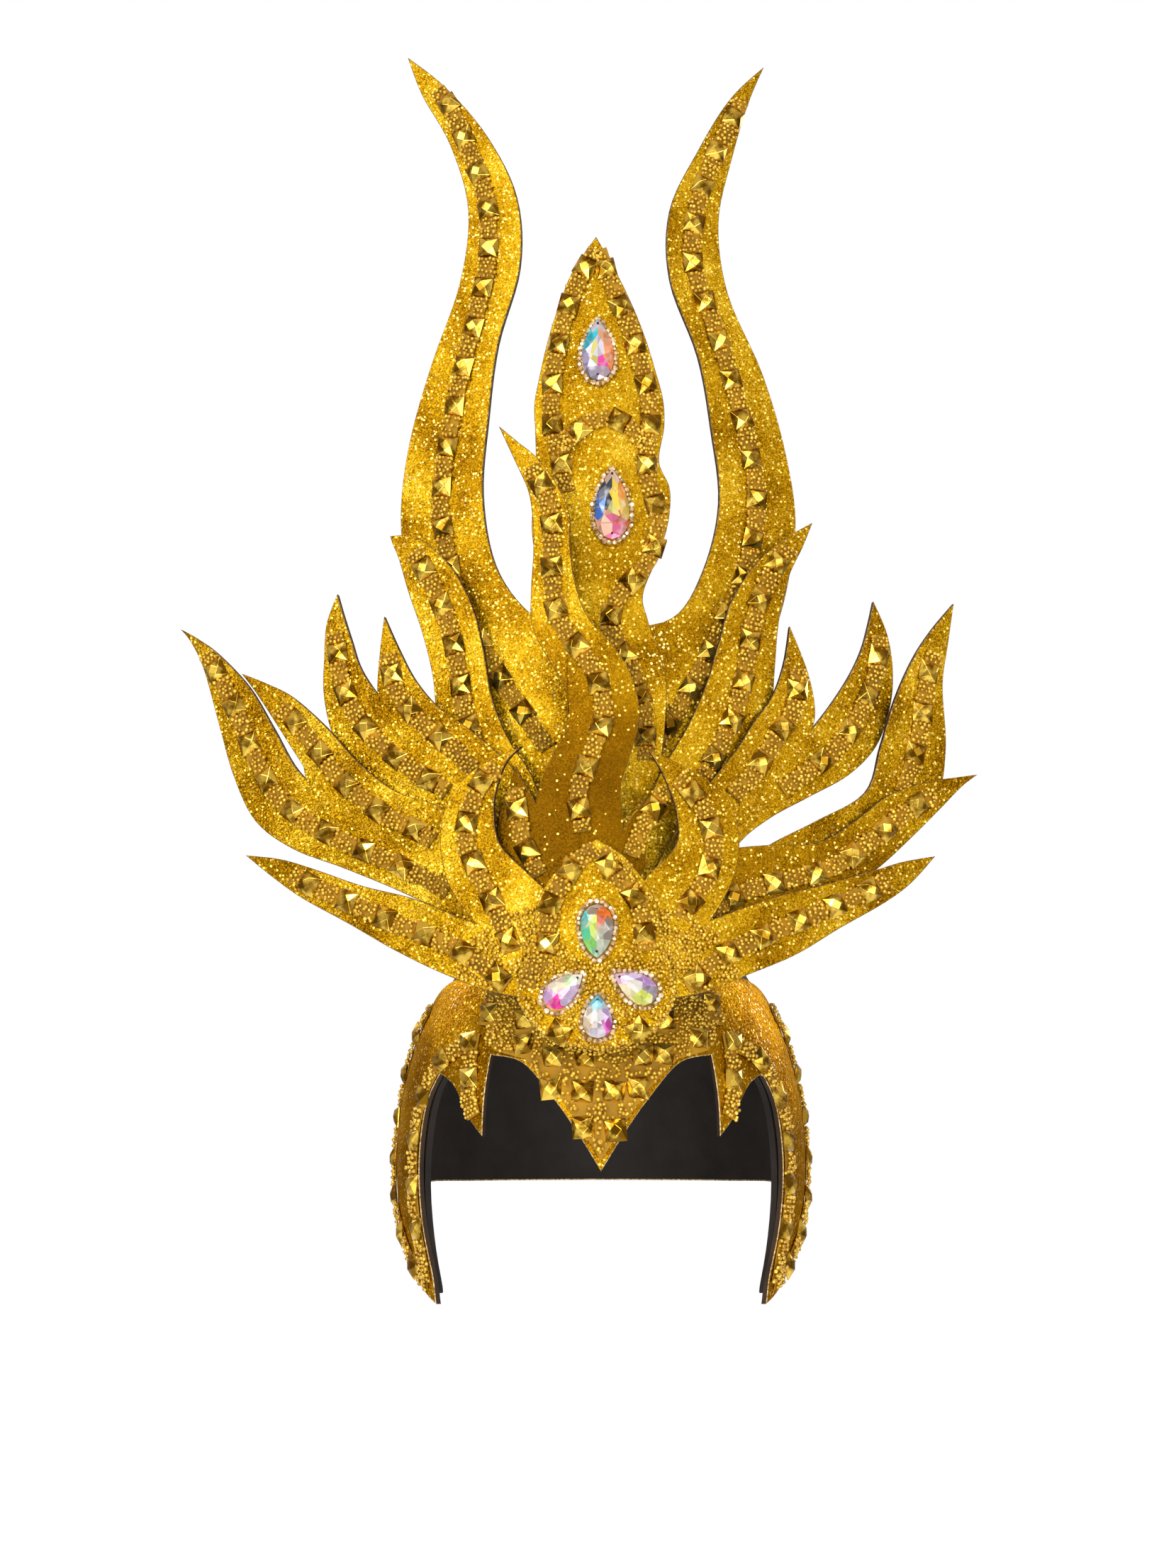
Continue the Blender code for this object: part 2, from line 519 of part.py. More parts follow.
# The outlines joined into one flat sheet of triangles, cut by upright and level lines so that it
# bends, with each stud's square kept apart
def flat_sheet(bm, outlines, studs, height, columns, levels, limits):
    points, faces = [], []
    for loop in map(anticlockwise, list(outlines) + list(studs)):
        faces.append(list(range(len(points), len(points) + len(loop))))
        points += loop
    low_x, high_x = min(p.x for p in points), max(p.x for p in points)
    low_z, high_z = min(p.y for p in points), max(p.y for p in points)
    edges = []

    def line(start, end):
        edges.append((len(points), len(points) + 1))
        points.extend((Vector(start), Vector(end)))

    for x in [x for x in limits if low_x < x < high_x] + columns(low_x, high_x):
        line((x, low_z - STUD_SIDE), (x, high_z + STUD_SIDE))
    for z in levels(low_z, high_z):
        line((low_x - STUD_SIDE, z), (high_x + STUD_SIDE, z))
    found = geometry.delaunay_2d_cdt(points, edges, faces, 1, 1e-6, True)
    corners, triangles, sources = found[0], found[2], found[5]
    made, stud_faces = {}, [[] for _ in studs]
    for triangle, source in zip(triangles, sources):
        if not source or not inside_limits([corners[i] for i in triangle], limits):
            continue
        for i in triangle:
            if i not in made:
                made[i] = bm.verts.new((corners[i].x, -height, corners[i].y))
        face = bm.faces.new([made[i] for i in triangle])
        for index in source:
            if index >= len(outlines):
                stud_faces[index - len(outlines)].append(face)
    return stud_faces


# The edge of a group of faces as one ring of vertices
def ring_of(faces):
    group = set(faces)
    following = {}
    for face in faces:
        for loop in face.loops:
            if not any(other in group for other in loop.edge.link_faces if other is not face):
                following[loop.vert] = loop.link_loop_next.vert
    start = next(iter(following))
    ring = [start]
    while following[ring[-1]] is not start:
        ring.append(following[ring[-1]])
    return ring


# A square stud: its flat table is a smaller square turned by 45 degrees
def raise_stud(bm, faces, corners):
    ring = ring_of(faces)
    places = [Vector((corner.x, -BAND_TOP, corner.y)) for corner in corners]
    first = [min(range(len(ring)), key=lambda i: (ring[i].co - place).length) for place in places]
    middle = sum(places, Vector()) / 4
    table = []
    for i in range(4):
        reach = ((places[i] + places[(i + 1) % 4]) / 2 - middle) * STUD_TABLE
        table.append(bm.verts.new(middle + reach + Vector((0.0, -STUD_RISE, 0.0))))
    forward = (first[1] - first[0]) % len(ring) < (first[0] - first[1]) % len(ring)
    step = 1 if forward or first[1] == first[0] else -1
    bmesh.ops.delete(bm, geom=faces, context="FACES")
    for i in range(4):
        at = first[i]
        while at != first[(i + 1) % 4]:
            after = (at + step) % len(ring)
            bm.faces.new((ring[at], ring[after], table[i]))
            at = after
        bm.faces.new((ring[at], table[(i + 1) % 4], table[i]))
    bm.faces.new(table)


# A sheet between two heights over its surface
def sheet(name, collection, material, outlines, surface, low, high, studs=(),
          columns=bow_columns, levels=no_lines, limits=(-1.0, 1.0)):
    bm = bmesh.new()
    stud_faces = flat_sheet(bm, outlines, studs, high, columns, levels, limits)
    grown = bmesh.ops.extrude_face_region(bm, geom=bm.faces[:])["geom"]
    for thing in grown:
        if isinstance(thing, bmesh.types.BMVert):
            thing.co.y = -low
    for faces, corners in zip(stud_faces, studs):
        raise_stud(bm, [face for face in faces if face.is_valid], corners)
    for vertex in bm.verts:
        vertex.co = surface(vertex.co.x, vertex.co.z, -vertex.co.y)
    return object_from(bm, name, collection, material)


def foam_sheet(name, collection, outlines, surface, limits=(-1.0, 1.0)):
    return sheet(name, collection, GLITTER_FOAM, outlines, surface, -SHEET_FOAM, 0.0, limits=limits)


def stud_band(name, collection, strips, surface):
    outlines = [outline for outline, _ in strips]
    studs = [stud for _, each in strips for stud in each]
    return sheet(name, collection, STUD_METAL, outlines, surface, SEAT_GAP, BAND_TOP, studs,
                 columns=no_lines)


# The frame of something stiff that touches a surface at one point
def resting_on(surface, x, z):
    spot = surface(x, z, 0.0)
    outward = (surface(x, z, STUD_TOP) - spot).normalized()
    level = Vector((1.0, 0.0, 0.0))
    level = (level - outward * level.dot(outward)).normalized()
    axes = Matrix((level, -outward, level.cross(-outward))).transposed()
    return Matrix.Translation(spot) @ axes.to_4x4()


def drop_outline(length, width):
    points = []
    for i in range(DROP_SIDES):
        angle = 2 * math.pi * i / DROP_SIDES
        points.append(Vector((
            width / 2 * math.sin(angle) * math.sin(angle / 2) / DROP_WIDEST,
            length / 2 * math.cos(angle),
        )))
    return points


# A drop crystal in its ring of small stones
def crystal(drop, collection, surface, base):
    bm = bmesh.new()
    ring_length = drop.length + 2 * drop.ring * RING_ENDS
    ring_width = drop.width + 2 * drop.ring
    outline = [(p.x, -base, p.y) for p in drop_outline(ring_length, ring_width)]
    face = bm.faces.new([bm.verts.new(point) for point in outline])
    centre = Vector((0.0, 0.0, DROP_MIDDLE * drop.length))

    def rise(height, scale_x, scale_z, keep=False):
        nonlocal face
        grown = bmesh.ops.extrude_face_region(bm, geom=[face])["geom"]
        if not keep:
            bmesh.ops.delete(bm, geom=[face], context="FACES_ONLY")
        face = next(thing for thing in grown if isinstance(thing, bmesh.types.BMFace))
        for vertex in face.verts:
            offset = vertex.co - centre
            vertex.co.x = centre.x + offset.x * scale_x
            vertex.co.z = centre.z + offset.z * scale_z
            vertex.co.y -= height

    rise(RING_HEIGHT, 1.0, 1.0, keep=True)
    rise(0.0, drop.width / ring_width, drop.length / ring_length)
    rise(STONE_GIRDLE, 1.0, 1.0)
    rise(STONE_CROWN, STONE_TABLE, STONE_TABLE)
    stone = object_from(bm, drop.name, collection, CRYSTAL)
    stone.matrix_world = resting_on(surface, drop.x, drop.z) @ Matrix.Rotation(
        math.radians(drop.turn), 4, "Y")
    return stone


def rim_at(index):
    around = len(LINING_RIM) - 1
    turn, share = LINING_RIM[around - abs(around - index % (2 * around))]
    return math.radians(turn), share * FLAP_DROP


# The lining: half a sphere stretched over the head's room, its rim drawn down to the table's rim
def lining_cap(collection):
    bm = bmesh.new()
    around = len(LINING_RIM) - 1
    bmesh.ops.create_uvsphere(bm, u_segments=2 * around, v_segments=2 * LINING_RINGS, radius=1.0)
    low = [vertex for vertex in bm.verts if vertex.co.z < -1e-4]
    bmesh.ops.delete(bm, geom=low, context="VERTS")
    for vertex in bm.verts:
        share = math.acos(min(1.0, vertex.co.z)) / (math.pi / 2)
        index = round(math.atan2(vertex.co.x, -vertex.co.y) / (math.pi / around))
        turn, rim = rim_at(index)
        lowest = math.acos((rim + HEAD_HEIGHT) / LINING_HEIGHT)
        polar = share * lowest
        side = math.copysign(1.0, vertex.co.x) if abs(vertex.co.x) > 1e-6 else 0.0
        vertex.co = (
            LINING_HALF_WIDTH * math.sin(polar) * math.sin(turn) * side,
            -LINING_HALF_DEPTH * math.sin(polar) * math.cos(turn),
            LINING_HEIGHT * math.cos(polar) - HEAD_HEIGHT,
        )
    cap = object_from(bm, "lining_cap", collection, BLACK_FOAM)
    wall = cap.modifiers.new("foam", "SOLIDIFY")
    wall.thickness = LINING_FOAM
    wall.offset = -1.0
    return cap


def shell_point(around, height):
    return Vector((around * SHELL_WRAP, height * FLAP_DROP))


def shell_path(rows, side):
    return [Vector((p.x * side, p.y)) for p in
            (shell_point(*row) for row in smooth_through(rows, 3))]


def gold_shell(collection):
    half = []
    for run in SHELL_EDGE:
        half += [shell_point(*row) for row in smooth_through(run, 2)][:-1]
    middle_top = shell_point(*SHELL_EDGE[-1][-1])
    mirrored = [Vector((-p.x, p.y)) for p in half[:0:-1]]
    outline = half + [middle_top] + mirrored
    return sheet("gold_shell", collection, GLITTER_FOAM, [outline], shell_surface,
                 -SHEET_FOAM, 0.0, columns=even_columns, levels=even_columns)


def shell_bands(collection):
    half = [shell_point(*row) for row in FIELD_EDGE]
    outline = half + [Vector((-p.x, p.y)) for p in half[:0:-1]]
    studs = [square_at(*shell_point(*row)) for row in FIELD_STUDS]
    sheet("brow_studs", collection, STUD_METAL, [outline], shell_surface, SEAT_GAP, BAND_TOP,
          studs, columns=even_columns, levels=even_columns)
    for side, word in ((-1, "left"), (1, "right")):
        front = studded_strip(shell_path(FLAP_FRONT_BAND, side), FLAP_FRONT_LEAD)
        rear = studded_strip(shell_path(FLAP_REAR_BAND, side), FLAP_REAR_LEAD)
        claw = studded_strip(shell_path(CLAW_BAND, side), CLAW_LEAD)
        stud_band(f"flap_studs_{word}", collection, [front, rear, claw], shell_surface)


def medallion_point(down, half, side):
    return Vector((MEDALLION_MIDDLE + side * half * MEDALLION_WIDTH,
                   MEDALLION_TOP - down * MEDALLION_HEIGHT))


# The medallion stands on the front layer and carries four drops
def medallion(collection):
    surface = layer_surface(1)
    base = SEAT_GAP + SHEET_FOAM
    rows = smooth_through(MEDALLION_ROWS, 2)
    right = [medallion_point(down, half, 1) for down, half in rows]
    left = [medallion_point(down, half, -1) for down, half in rows]
    sheet("medallion", collection, GLITTER_FOAM, [right + left[-2:0:-1]], surface,
          SEAT_GAP, base)

    def raised(x, z, height):
        return surface(x, z, base + height)

    strips = []
    for side, band, lead in ((-1, MEDALLION_LEFT_BAND, MEDALLION_LEFT_LEAD),
                             (1, MEDALLION_RIGHT_BAND, MEDALLION_RIGHT_LEAD)):
        path = [medallion_point(*row, side) for row in smooth_through(band, 3)]
        strips.append(studded_strip(path, lead, MEDALLION_PITCH))
    stud_band("medallion_studs", collection, strips, raised)
    for side, word, band in ((-1, "left", MEDALLION_LOW_LEFT_BAND),
                             (1, "right", MEDALLION_LOW_RIGHT_BAND)):
        strip = studded_strip([medallion_point(*row, side) for row in band], MEDALLION_LOW_LEAD)
        stud_band(f"medallion_low_studs_{word}", collection, [strip], raised)
    for drop in MEDALLION_DROPS:
        crystal(drop, collection, raised, SEAT_GAP)


def front_layer(collection):
    surface = layer_surface(1)
    for word, wing, horn, limits in (
        ("left", WING_LEFT, INNER_HORN_LEFT, (-1.0, -SEAT_GAP / 2)),
        ("right", WING_RIGHT, INNER_HORN_RIGHT, (SEAT_GAP / 2, 1.0)),
    ):
        outlines = [blade_outline(wing), blade_outline(horn)]
        foam_sheet(f"front_flame_{word}", collection, outlines, surface, limits)
    for name, blade, rows, pitch in (
        ("wing_studs_left", WING_LEFT, WING_LEFT_BAND, WING_LEFT_PITCH),
        ("wing_studs_right", WING_RIGHT, WING_RIGHT_BAND, WING_RIGHT_PITCH),
        ("inner_horn_studs_left", INNER_HORN_LEFT, INNER_HORN_LEFT_BAND, INNER_HORN_LEFT_PITCH),
        ("inner_horn_studs_right", INNER_HORN_RIGHT, INNER_HORN_RIGHT_BAND,
         INNER_HORN_RIGHT_PITCH),
    ):
        strip = studded_strip(band_path(blade, rows, blade.length), pitch=pitch)
        stud_band(name, collection, [strip], surface)


# The flames behind the front layer: name, layer, blades, limits in x, and each blade's band
def flames(collection):
    split = SEAT_GAP / 2
    left, right = (-1.0, -split), (split, 1.0)
    table = (
        ("centre_flame", 2, (CENTRE_TALL, CENTRE_LOBE_LEFT, CENTRE_LOBE_RIGHT),
         (-1.0, CENTRE_REACH), ((0.91, 0.18), (0.90, 0.40), (0.93, 0.45))),
        ("low_flame_right", 2, (OUTER_RIGHT_LOW,), (CENTRE_REACH + SEAT_GAP, 1.0),
         ((0.88, 0.30),)),
        ("outer_flame_left", 3, (OUTER_LEFT_LOW, OUTER_LEFT_HIGH), left,
         ((0.92, 0.18), (0.88, 0.32))),
        ("outer_flame_right", 3, (OUTER_RIGHT_HIGH,), right, ((0.90, 0.58),)),
        ("middle_flame_left", 4, (MIDDLE_LEFT_OUTER, MIDDLE_LEFT_INNER), left,
         ((0.92, 0.42), (0.90, 0.48))),
        ("middle_flame_right", 4, (MIDDLE_RIGHT_INNER, MIDDLE_RIGHT_OUTER), right,
         ((0.90, 0.48), (0.94, 0.46))),
        ("upper_flame_left", 5, (UPPER_LEFT,), left, ((0.94, 0.45),)),
        ("upper_flame_right", 5, (UPPER_RIGHT,), right, ((0.93, 0.36),)),
    )
    for name, layer, blades, limits, bands in table:
        surface = layer_surface(layer)
        outlines = [blade_outline(blade) for blade in blades]
        foam_sheet(name, collection, outlines, surface, limits)
        for number, (blade, (high, low)) in enumerate(zip(blades, bands), 1):
            strip = studded_strip(blade_spine(blade, high, low))
            stud_band(f"{name}_studs_{number}", collection, [strip], surface)


def spear(collection):
    surface = layer_surface(6)
    foam_sheet("spear_plate", collection, [blade_outline(SPEAR)], surface)
    strips = [
        studded_strip(band_path(SPEAR, rows, SPEAR.breadth), lead)
        for rows, lead in ((SPEAR_BAND_LEFT, STUD_LEAD), (SPEAR_BAND_RIGHT, STUD_LEAD),
                           (SPEAR_BAND_ARCH, SPEAR_ARCH_LEAD))
    ]
    stud_band("spear_studs", collection, strips, surface)
    for drop in SPEAR_DROPS:
        crystal(drop, collection, surface, SEAT_GAP)


def horns(collection):
    surface = layer_surface(7)
    split = SEAT_GAP / 2
    for word, blade, rows, limits in (
        ("left", HORN_LEFT, HORN_LEFT_BAND, (-1.0, -split)),
        ("right", HORN_RIGHT, HORN_RIGHT_BAND, (split, 1.0)),
    ):
        foam_sheet(f"horn_{word}", collection, [blade_outline(blade)], surface, limits)
        strip = studded_strip(band_path(blade, rows, blade.length))
        stud_band(f"horn_studs_{word}", collection, [strip], surface)


def rectangle(half_width, low, high):
    return [Vector(p) for p in ((-half_width, low), (half_width, low),
                                (half_width, high), (-half_width, high))]


# Foam pads between the roots of each two layers, and the block between the horns and the dome
def spacers(collection, cutters):
    back = -SHEET_FOAM - SEAT_GAP
    for layer in range(1, 7):
        foot = HORN_ROOT_HEIGHT if layer == 6 else ROOT_HEIGHT
        outline = rectangle(PAD_HALF_WIDTH, foot, foot + PAD_HEIGHT)
        sheet(f"spacer_{layer}", collection, BLACK_FOAM, [outline], layer_surface(layer),
              SEAT_GAP - LAYER_PITCH, back)
    outline = rectangle(REAR_BLOCK_HALF_WIDTH, HORN_ROOT_HEIGHT,
                        HORN_ROOT_HEIGHT + REAR_BLOCK_HEIGHT)
    block = sheet("rear_block", collection, BLACK_FOAM, [outline], layer_surface(7),
                  back - REAR_BLOCK_DEPTH, back)
    bm = bmesh.new()
    bmesh.ops.create_uvsphere(bm, u_segments=32, v_segments=24, radius=1.0)
    stretch = Matrix.Diagonal((LINING_HALF_WIDTH + WRAP_GAP, LINING_HALF_DEPTH + WRAP_GAP,
                               LINING_HEIGHT + WRAP_GAP, 1.0))
    bmesh.ops.transform(bm, matrix=Matrix.Translation((0, 0, -HEAD_HEIGHT)) @ stretch,
                        verts=bm.verts[:])
    dome = object_from(bm, "dome_cutter", cutters, BLACK_FOAM)
    dome.hide_render = True
    dome.display_type = "WIRE"
    cut = block.modifiers.new("dome", "BOOLEAN")
    cut.operation = "DIFFERENCE"
    cut.object = dome


def build():
    clear_scene()
    parts = new_collection("carnival_crown")
    cutters = new_collection("cutters", hidden=True)
    lining_cap(parts)
    gold_shell(parts)
    shell_bands(parts)
    front_layer(parts)
    medallion(parts)
    flames(parts)
    spear(parts)
    horns(parts)
    spacers(parts, cutters)


build()
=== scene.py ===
# Carnival crown: a foam helmet with layers of gold glitter flames, bands of square studs with
# beads between them, and drop crystals. Metres, +Z up, the front faces -Y.
import math
import random
from functools import partial

import bmesh
import bpy
from mathutils import Matrix, Vector, geometry


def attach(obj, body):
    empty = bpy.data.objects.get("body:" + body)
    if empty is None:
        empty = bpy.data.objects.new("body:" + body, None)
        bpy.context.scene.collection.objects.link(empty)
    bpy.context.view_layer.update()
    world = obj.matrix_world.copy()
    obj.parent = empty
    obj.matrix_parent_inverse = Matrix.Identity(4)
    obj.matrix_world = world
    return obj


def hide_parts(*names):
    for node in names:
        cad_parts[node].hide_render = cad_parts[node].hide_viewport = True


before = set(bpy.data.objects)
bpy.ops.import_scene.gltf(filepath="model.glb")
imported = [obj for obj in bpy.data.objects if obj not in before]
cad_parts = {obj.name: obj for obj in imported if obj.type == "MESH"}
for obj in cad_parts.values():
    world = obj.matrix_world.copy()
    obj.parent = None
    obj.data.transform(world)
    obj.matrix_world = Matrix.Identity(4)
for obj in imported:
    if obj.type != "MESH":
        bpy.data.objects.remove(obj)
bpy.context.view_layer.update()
print("loaded the packed crown")

seeded = random.Random(41)


def addObject(name, data):
    made = bpy.data.objects.new(name, data)
    bpy.context.scene.collection.objects.link(made)
    return made


# the camera stands a little below the brow and looks up at it, as for the photograph
cameraView = {"place": (0, -1.39, -0.116), "tiltUp": 6.9, "lens": 66.64, "sensor": 36.0, "aside": -0.00836}


def makeCamera():
    data = bpy.data.cameras.new("camera")
    data.sensor_width = cameraView["sensor"]
    data.lens = cameraView["lens"]
    data.shift_x = cameraView["aside"]
    camera = addObject("camera", data)
    camera.location = cameraView["place"]
    camera.rotation_euler = (math.radians(90 + cameraView["tiltUp"]), 0, 0)
    bpy.context.scene.camera = camera
    bpy.context.scene.view_settings.view_transform = "Standard"


makeCamera()
print("placed the camera")


def linearColour(hexText):
    parts = [int(hexText[i:i + 2], 16) / 255 for i in (1, 3, 5)]
    return (*(p / 12.92 if p <= 0.04045 else ((p + 0.055) / 1.055) ** 2.4 for p in parts), 1.0)


# sets a node's inputs, or links them to a socket or to another node's first output
def feed(node, inputs):
    for key, value in inputs.items():
        if isinstance(value, bpy.types.Node):
            value = value.outputs[0]
        if isinstance(value, bpy.types.NodeSocket):
            node.id_data.links.new(value, node.inputs[key])
        else:
            node.inputs[key].default_value = value


def addNode(tree, kind, inputs, **settings):
    node = tree.nodes.new("ShaderNode" + kind)
    for key, value in settings.items():
        setattr(node, key, value)
    feed(node, inputs)
    return node


# a material, what adds its nodes, and its shader
def startMaterial(name, fixed):
    material = bpy.data.materials.new(name)
    material.use_nodes = True
    shader = material.node_tree.nodes["Principled BSDF"]
    feed(shader, fixed)
    return material, partial(addNode, material.node_tree), shader


def setStops(ramp, stops):
    elements = ramp.color_ramp.elements
    while len(elements) < len(stops):
        elements.new(0.5)
    for element, (at, colour) in zip(elements, stops):
        element.position = at
        element.color = linearColour(colour) if isinstance(colour, str) else (colour,) * 3 + (1,)
    return ramp


# noise in the object's own space that takes the colour from one stop to the next
def mottle(add, shader, size, detail, stops):
    place = add("TexCoord", {}).outputs["Object"]
    noise = add("TexNoise", {"Vector": place, "Scale": 1 / size, "Detail": detail})
    feed(shader, {"Base Color": setStops(add("ValToRGB", {"Fac": noise}), stops)})
    return place, noise


def makeMottled(name, fixed, size, detail, stops):
    material, add, shader = startMaterial(name, fixed)
    mottle(add, shader, size, detail, stops)
    return material


# Craft foam with a glued skin of cut metallic flakes. Together they look like rough, grainy gold. Here and
# there a flake is tilted further and coated, so that it catches the lamps, and it is also painted a pale
# glint colour: a painted highlight.
# Real flakes are about 0.4 mm, and the glinting ones are drawn 1 mm across, so that they still show from
# the camera.
glitterLook = {"flake": 0.0015, "paintedGlintDot": 0.38, "paintedGlintShare": 0.32, "paintedGlintColour": "#FFF6B4",
               "sparkTilt": 0.55, "grain": 0.00055, "grainTilt": 0.40, "zone": 0.030, "wave": 0.035,
               # two of these numbers give the painted shade of the shaded sheets: the share of the tone
               # kept there, and the share of flakes that still glint
               "waveTilt": 0.14, "paintedShadeTone": 0.22, "paintedShadeGlintShare": 0.06, "zoneTone": 1.3,
               "grainTone": 0.46, "toneShift": -0.42}
glitterTones = ((0, "#563603"), (0.25, "#885E05"), (0.5, "#AE840C"), (0.75, "#CCA41E"), (1, "#F4D24C"))
wrapTones = ((0, "#623E03"), (0.25, "#8A5E04"), (0.5, "#AE7E08"), (0.75, "#CC9C14"), (1, "#E8C040"))


# a normal leaned by as much as a flake's own random colour says
def leaning(add, normal, colour, tilt):
    centred = add("VectorMath", {0: colour, 1: (0.5, 0.5, 0.5)}, operation="SUBTRACT")
    moved = add("VectorMath", {0: centred, 1: (tilt,) * 3, 2: normal}, operation="MULTIPLY_ADD")
    return add("VectorMath", {0: moved}, operation="NORMALIZE")


# the heights given here, upper then lower, are where painted shade comes in: from the upper height down to
# the lower one the skin turns darker and smoother, with fewer glinting flakes, and below it stays so,
# standing in for the shade behind the layers in front
def makeGlitterFoam(name, tones, shadeHeights=None):
    look = glitterLook
    material, add, shader = startMaterial(name, {
        "Metallic": 0.92, "Roughness": 0.38, "Coat IOR": 1.4, "Coat Roughness": 0.14,
        "Coat Tint": linearColour("#FFE694"), "Specular Tint": linearColour("#F2D06A")})
    place = add("TexCoord", {}).outputs["Object"]
    flakes, grain = [add("TexVoronoi", {"Vector": place, "Scale": 1 / look[key]})
                     for key in ("flake", "grain")]
    zones, waves = [add("TexNoise", {"Vector": place, "Scale": 1 / look[key], "Detail": detail})
                    for key, detail in (("zone", 4.0), ("wave", 2.0))]
    each, lone = [add("TexWhiteNoise", {"Vector": cells.outputs["Position"]})
                  for cells in (grain, flakes)]
    spread = add("Math", {0: each, 1: look["grainTone"], 2: look["toneShift"]},
                 operation="MULTIPLY_ADD")
    tone = add("Math", {0: zones, 1: look["zoneTone"], 2: spread},
               operation="MULTIPLY_ADD", use_clamp=True)
    share = look["paintedGlintShare"]
    # painted shade: the tone and the share of glinting flakes fall towards the bottom
    if shadeHeights:
        height = add("SeparateXYZ", {"Vector": place}).outputs["Z"]
        shadedTone = add("Math", {0: tone, 1: look["paintedShadeTone"]}, operation="MULTIPLY")
        tone, share = [add("MapRange", {"Value": height, "From Min": shadeHeights[1], "From Max": shadeHeights[0],
                                        "To Min": low, "To Max": high})
                       for low, high in ((shadedTone, tone), (look["paintedShadeGlintShare"], share))]
    # the picked flakes are tilted further and coated, which catches the lamps, and are also painted the
    # pale glint colour: a painted highlight
    picked = add("Math", {0: lone, 1: share}, operation="LESS_THAN")
    near = add("Math", {0: flakes, 1: look["paintedGlintDot"]}, operation="LESS_THAN")
    paintedGlintDot = add("Math", {0: picked, 1: near}, operation="MULTIPLY")
    colour = add("Mix", {0: paintedGlintDot, 6: setStops(add("ValToRGB", {"Fac": tone}), tones),
                         7: linearColour(look["paintedGlintColour"])}, data_type="RGBA")
    wavy = leaning(add, add("NewGeometry", {}).outputs["Normal"], waves.outputs["Color"],
                   look["waveTilt"])
    normal = add("Mix", {0: paintedGlintDot, 4: leaning(add, wavy, grain.outputs["Color"], look["grainTilt"]),
                         5: leaning(add, wavy, flakes.outputs["Color"], look["sparkTilt"])},
                 data_type="VECTOR")
    feed(shader, {"Base Color": colour.outputs[2], "Coat Weight": paintedGlintDot,
                  "Normal": normal.outputs[1]})
    return material


# Closed-cell EVA craft foam, die cut: dull, with a faint grain of cells
foamLook = {"cells": 0.0007, "bump": 0.25, "depth": 0.0003, "mottle": 0.018, "roughness": 0.72}


def makeFoam(name, dark, light):
    look = foamLook
    material, add, shader = startMaterial(
        name, {"Roughness": look["roughness"], "Specular IOR Level": 0.35})
    place, _ = mottle(add, shader, look["mottle"], 5.0, ((0.3, dark), (0.7, light)))
    cells = add("TexNoise", {"Vector": place, "Scale": 1 / look["cells"], "Detail": 2.0})
    feed(shader, {"Normal": add("Bump", {"Strength": look["bump"], "Distance": look["depth"],
                                         "Height": cells})})
    return material


# Vacuum-metallised acrylic studs: a bright brassy mirror with a little haze
studLook = {"haze": 0.006, "sharpest": 0.078, "haziest": 0.208, "dark": "#86620F", "light": "#F3CF56"}


def makeStudMetal():
    look = studLook
    material, add, shader = startMaterial("metallisedStud", {"Metallic": 0.93})
    _, haze = mottle(add, shader, look["haze"], 4.0, ((0.42, look["dark"]), (0.58, look["light"])))
    feed(shader, {"Roughness": add("MapRange", {
        "Value": haze, "To Min": look["sharpest"], "To Max": look["haziest"]})})
    return material


# Foil-backed cut acrylic with a rainbow coat: each facet shows a colour of its own, which the
# mesh holds as an attribute, and streaks of a paler colour some 4 mm wide run through it
def makeCrystalStone():
    material, add, shader = startMaterial("rainbowCoatedStone", {
        "Metallic": 0.25, "Roughness": 0.14, "Coat Weight": 0.12, "Coat Roughness": 0.03})
    streak = add("TexNoise", {"Vector": add("TexCoord", {}).outputs["Object"],
                              "Scale": 1 / 0.004, "Detail": 1.0})
    mix = add("Mix", {0: setStops(add("ValToRGB", {"Fac": streak}), ((0.50, 0.0), (0.75, 0.35))),
                      6: add("Attribute", {}, attribute_name="facetTint"),
                      7: linearColour("#F4F2F6")}, data_type="RGBA")
    feed(shader, {"Base Color": mix.outputs[2]})
    return material


# Small clear cut stones with a pinkish tint, each a little different: the pattern is their size
def makeClearStone():
    material, add, shader = startMaterial("clearCutStone", {
        "Metallic": 0.45, "Roughness": 0.12, "Coat Weight": 0.6, "Coat Roughness": 0.03})
    each = add("TexVoronoi", {"Vector": add("TexCoord", {}).outputs["Object"], "Scale": 1 / 0.0022})
    pick = add("SeparateColor", {"Color": each.outputs["Color"]})
    feed(shader, {"Base Color": setStops(add("ValToRGB", {"Fac": pick}), (
        (0.1, "#A88450"), (0.5, "#DCBC8C"), (0.9, "#FFF2DC")))})
    return material


glitterFoam = makeGlitterFoam("glitterCraftFoam", glitterTones)
# painted shade on these two: darker and with fewer glints towards the bottom
centreShadedFoam = makeGlitterFoam("centreGlitterFoamPaintedShade", glitterTones, (0.125, 0.050))
lowShadedFoam = makeGlitterFoam("lowGlitterFoamPaintedShade", glitterTones, (0.040, -0.035))
wrapFoam = makeGlitterFoam("wrapGlitterFoam", wrapTones)
blackFoam = makeFoam("blackCraftFoam", "#120E0C", "#241D19")
cutFoam = makeFoam("cutFoamEdge", "#1E140C", "#3A2817")
beadCloth = makeFoam("goldenBacking", "#8A640A", "#B88A14")
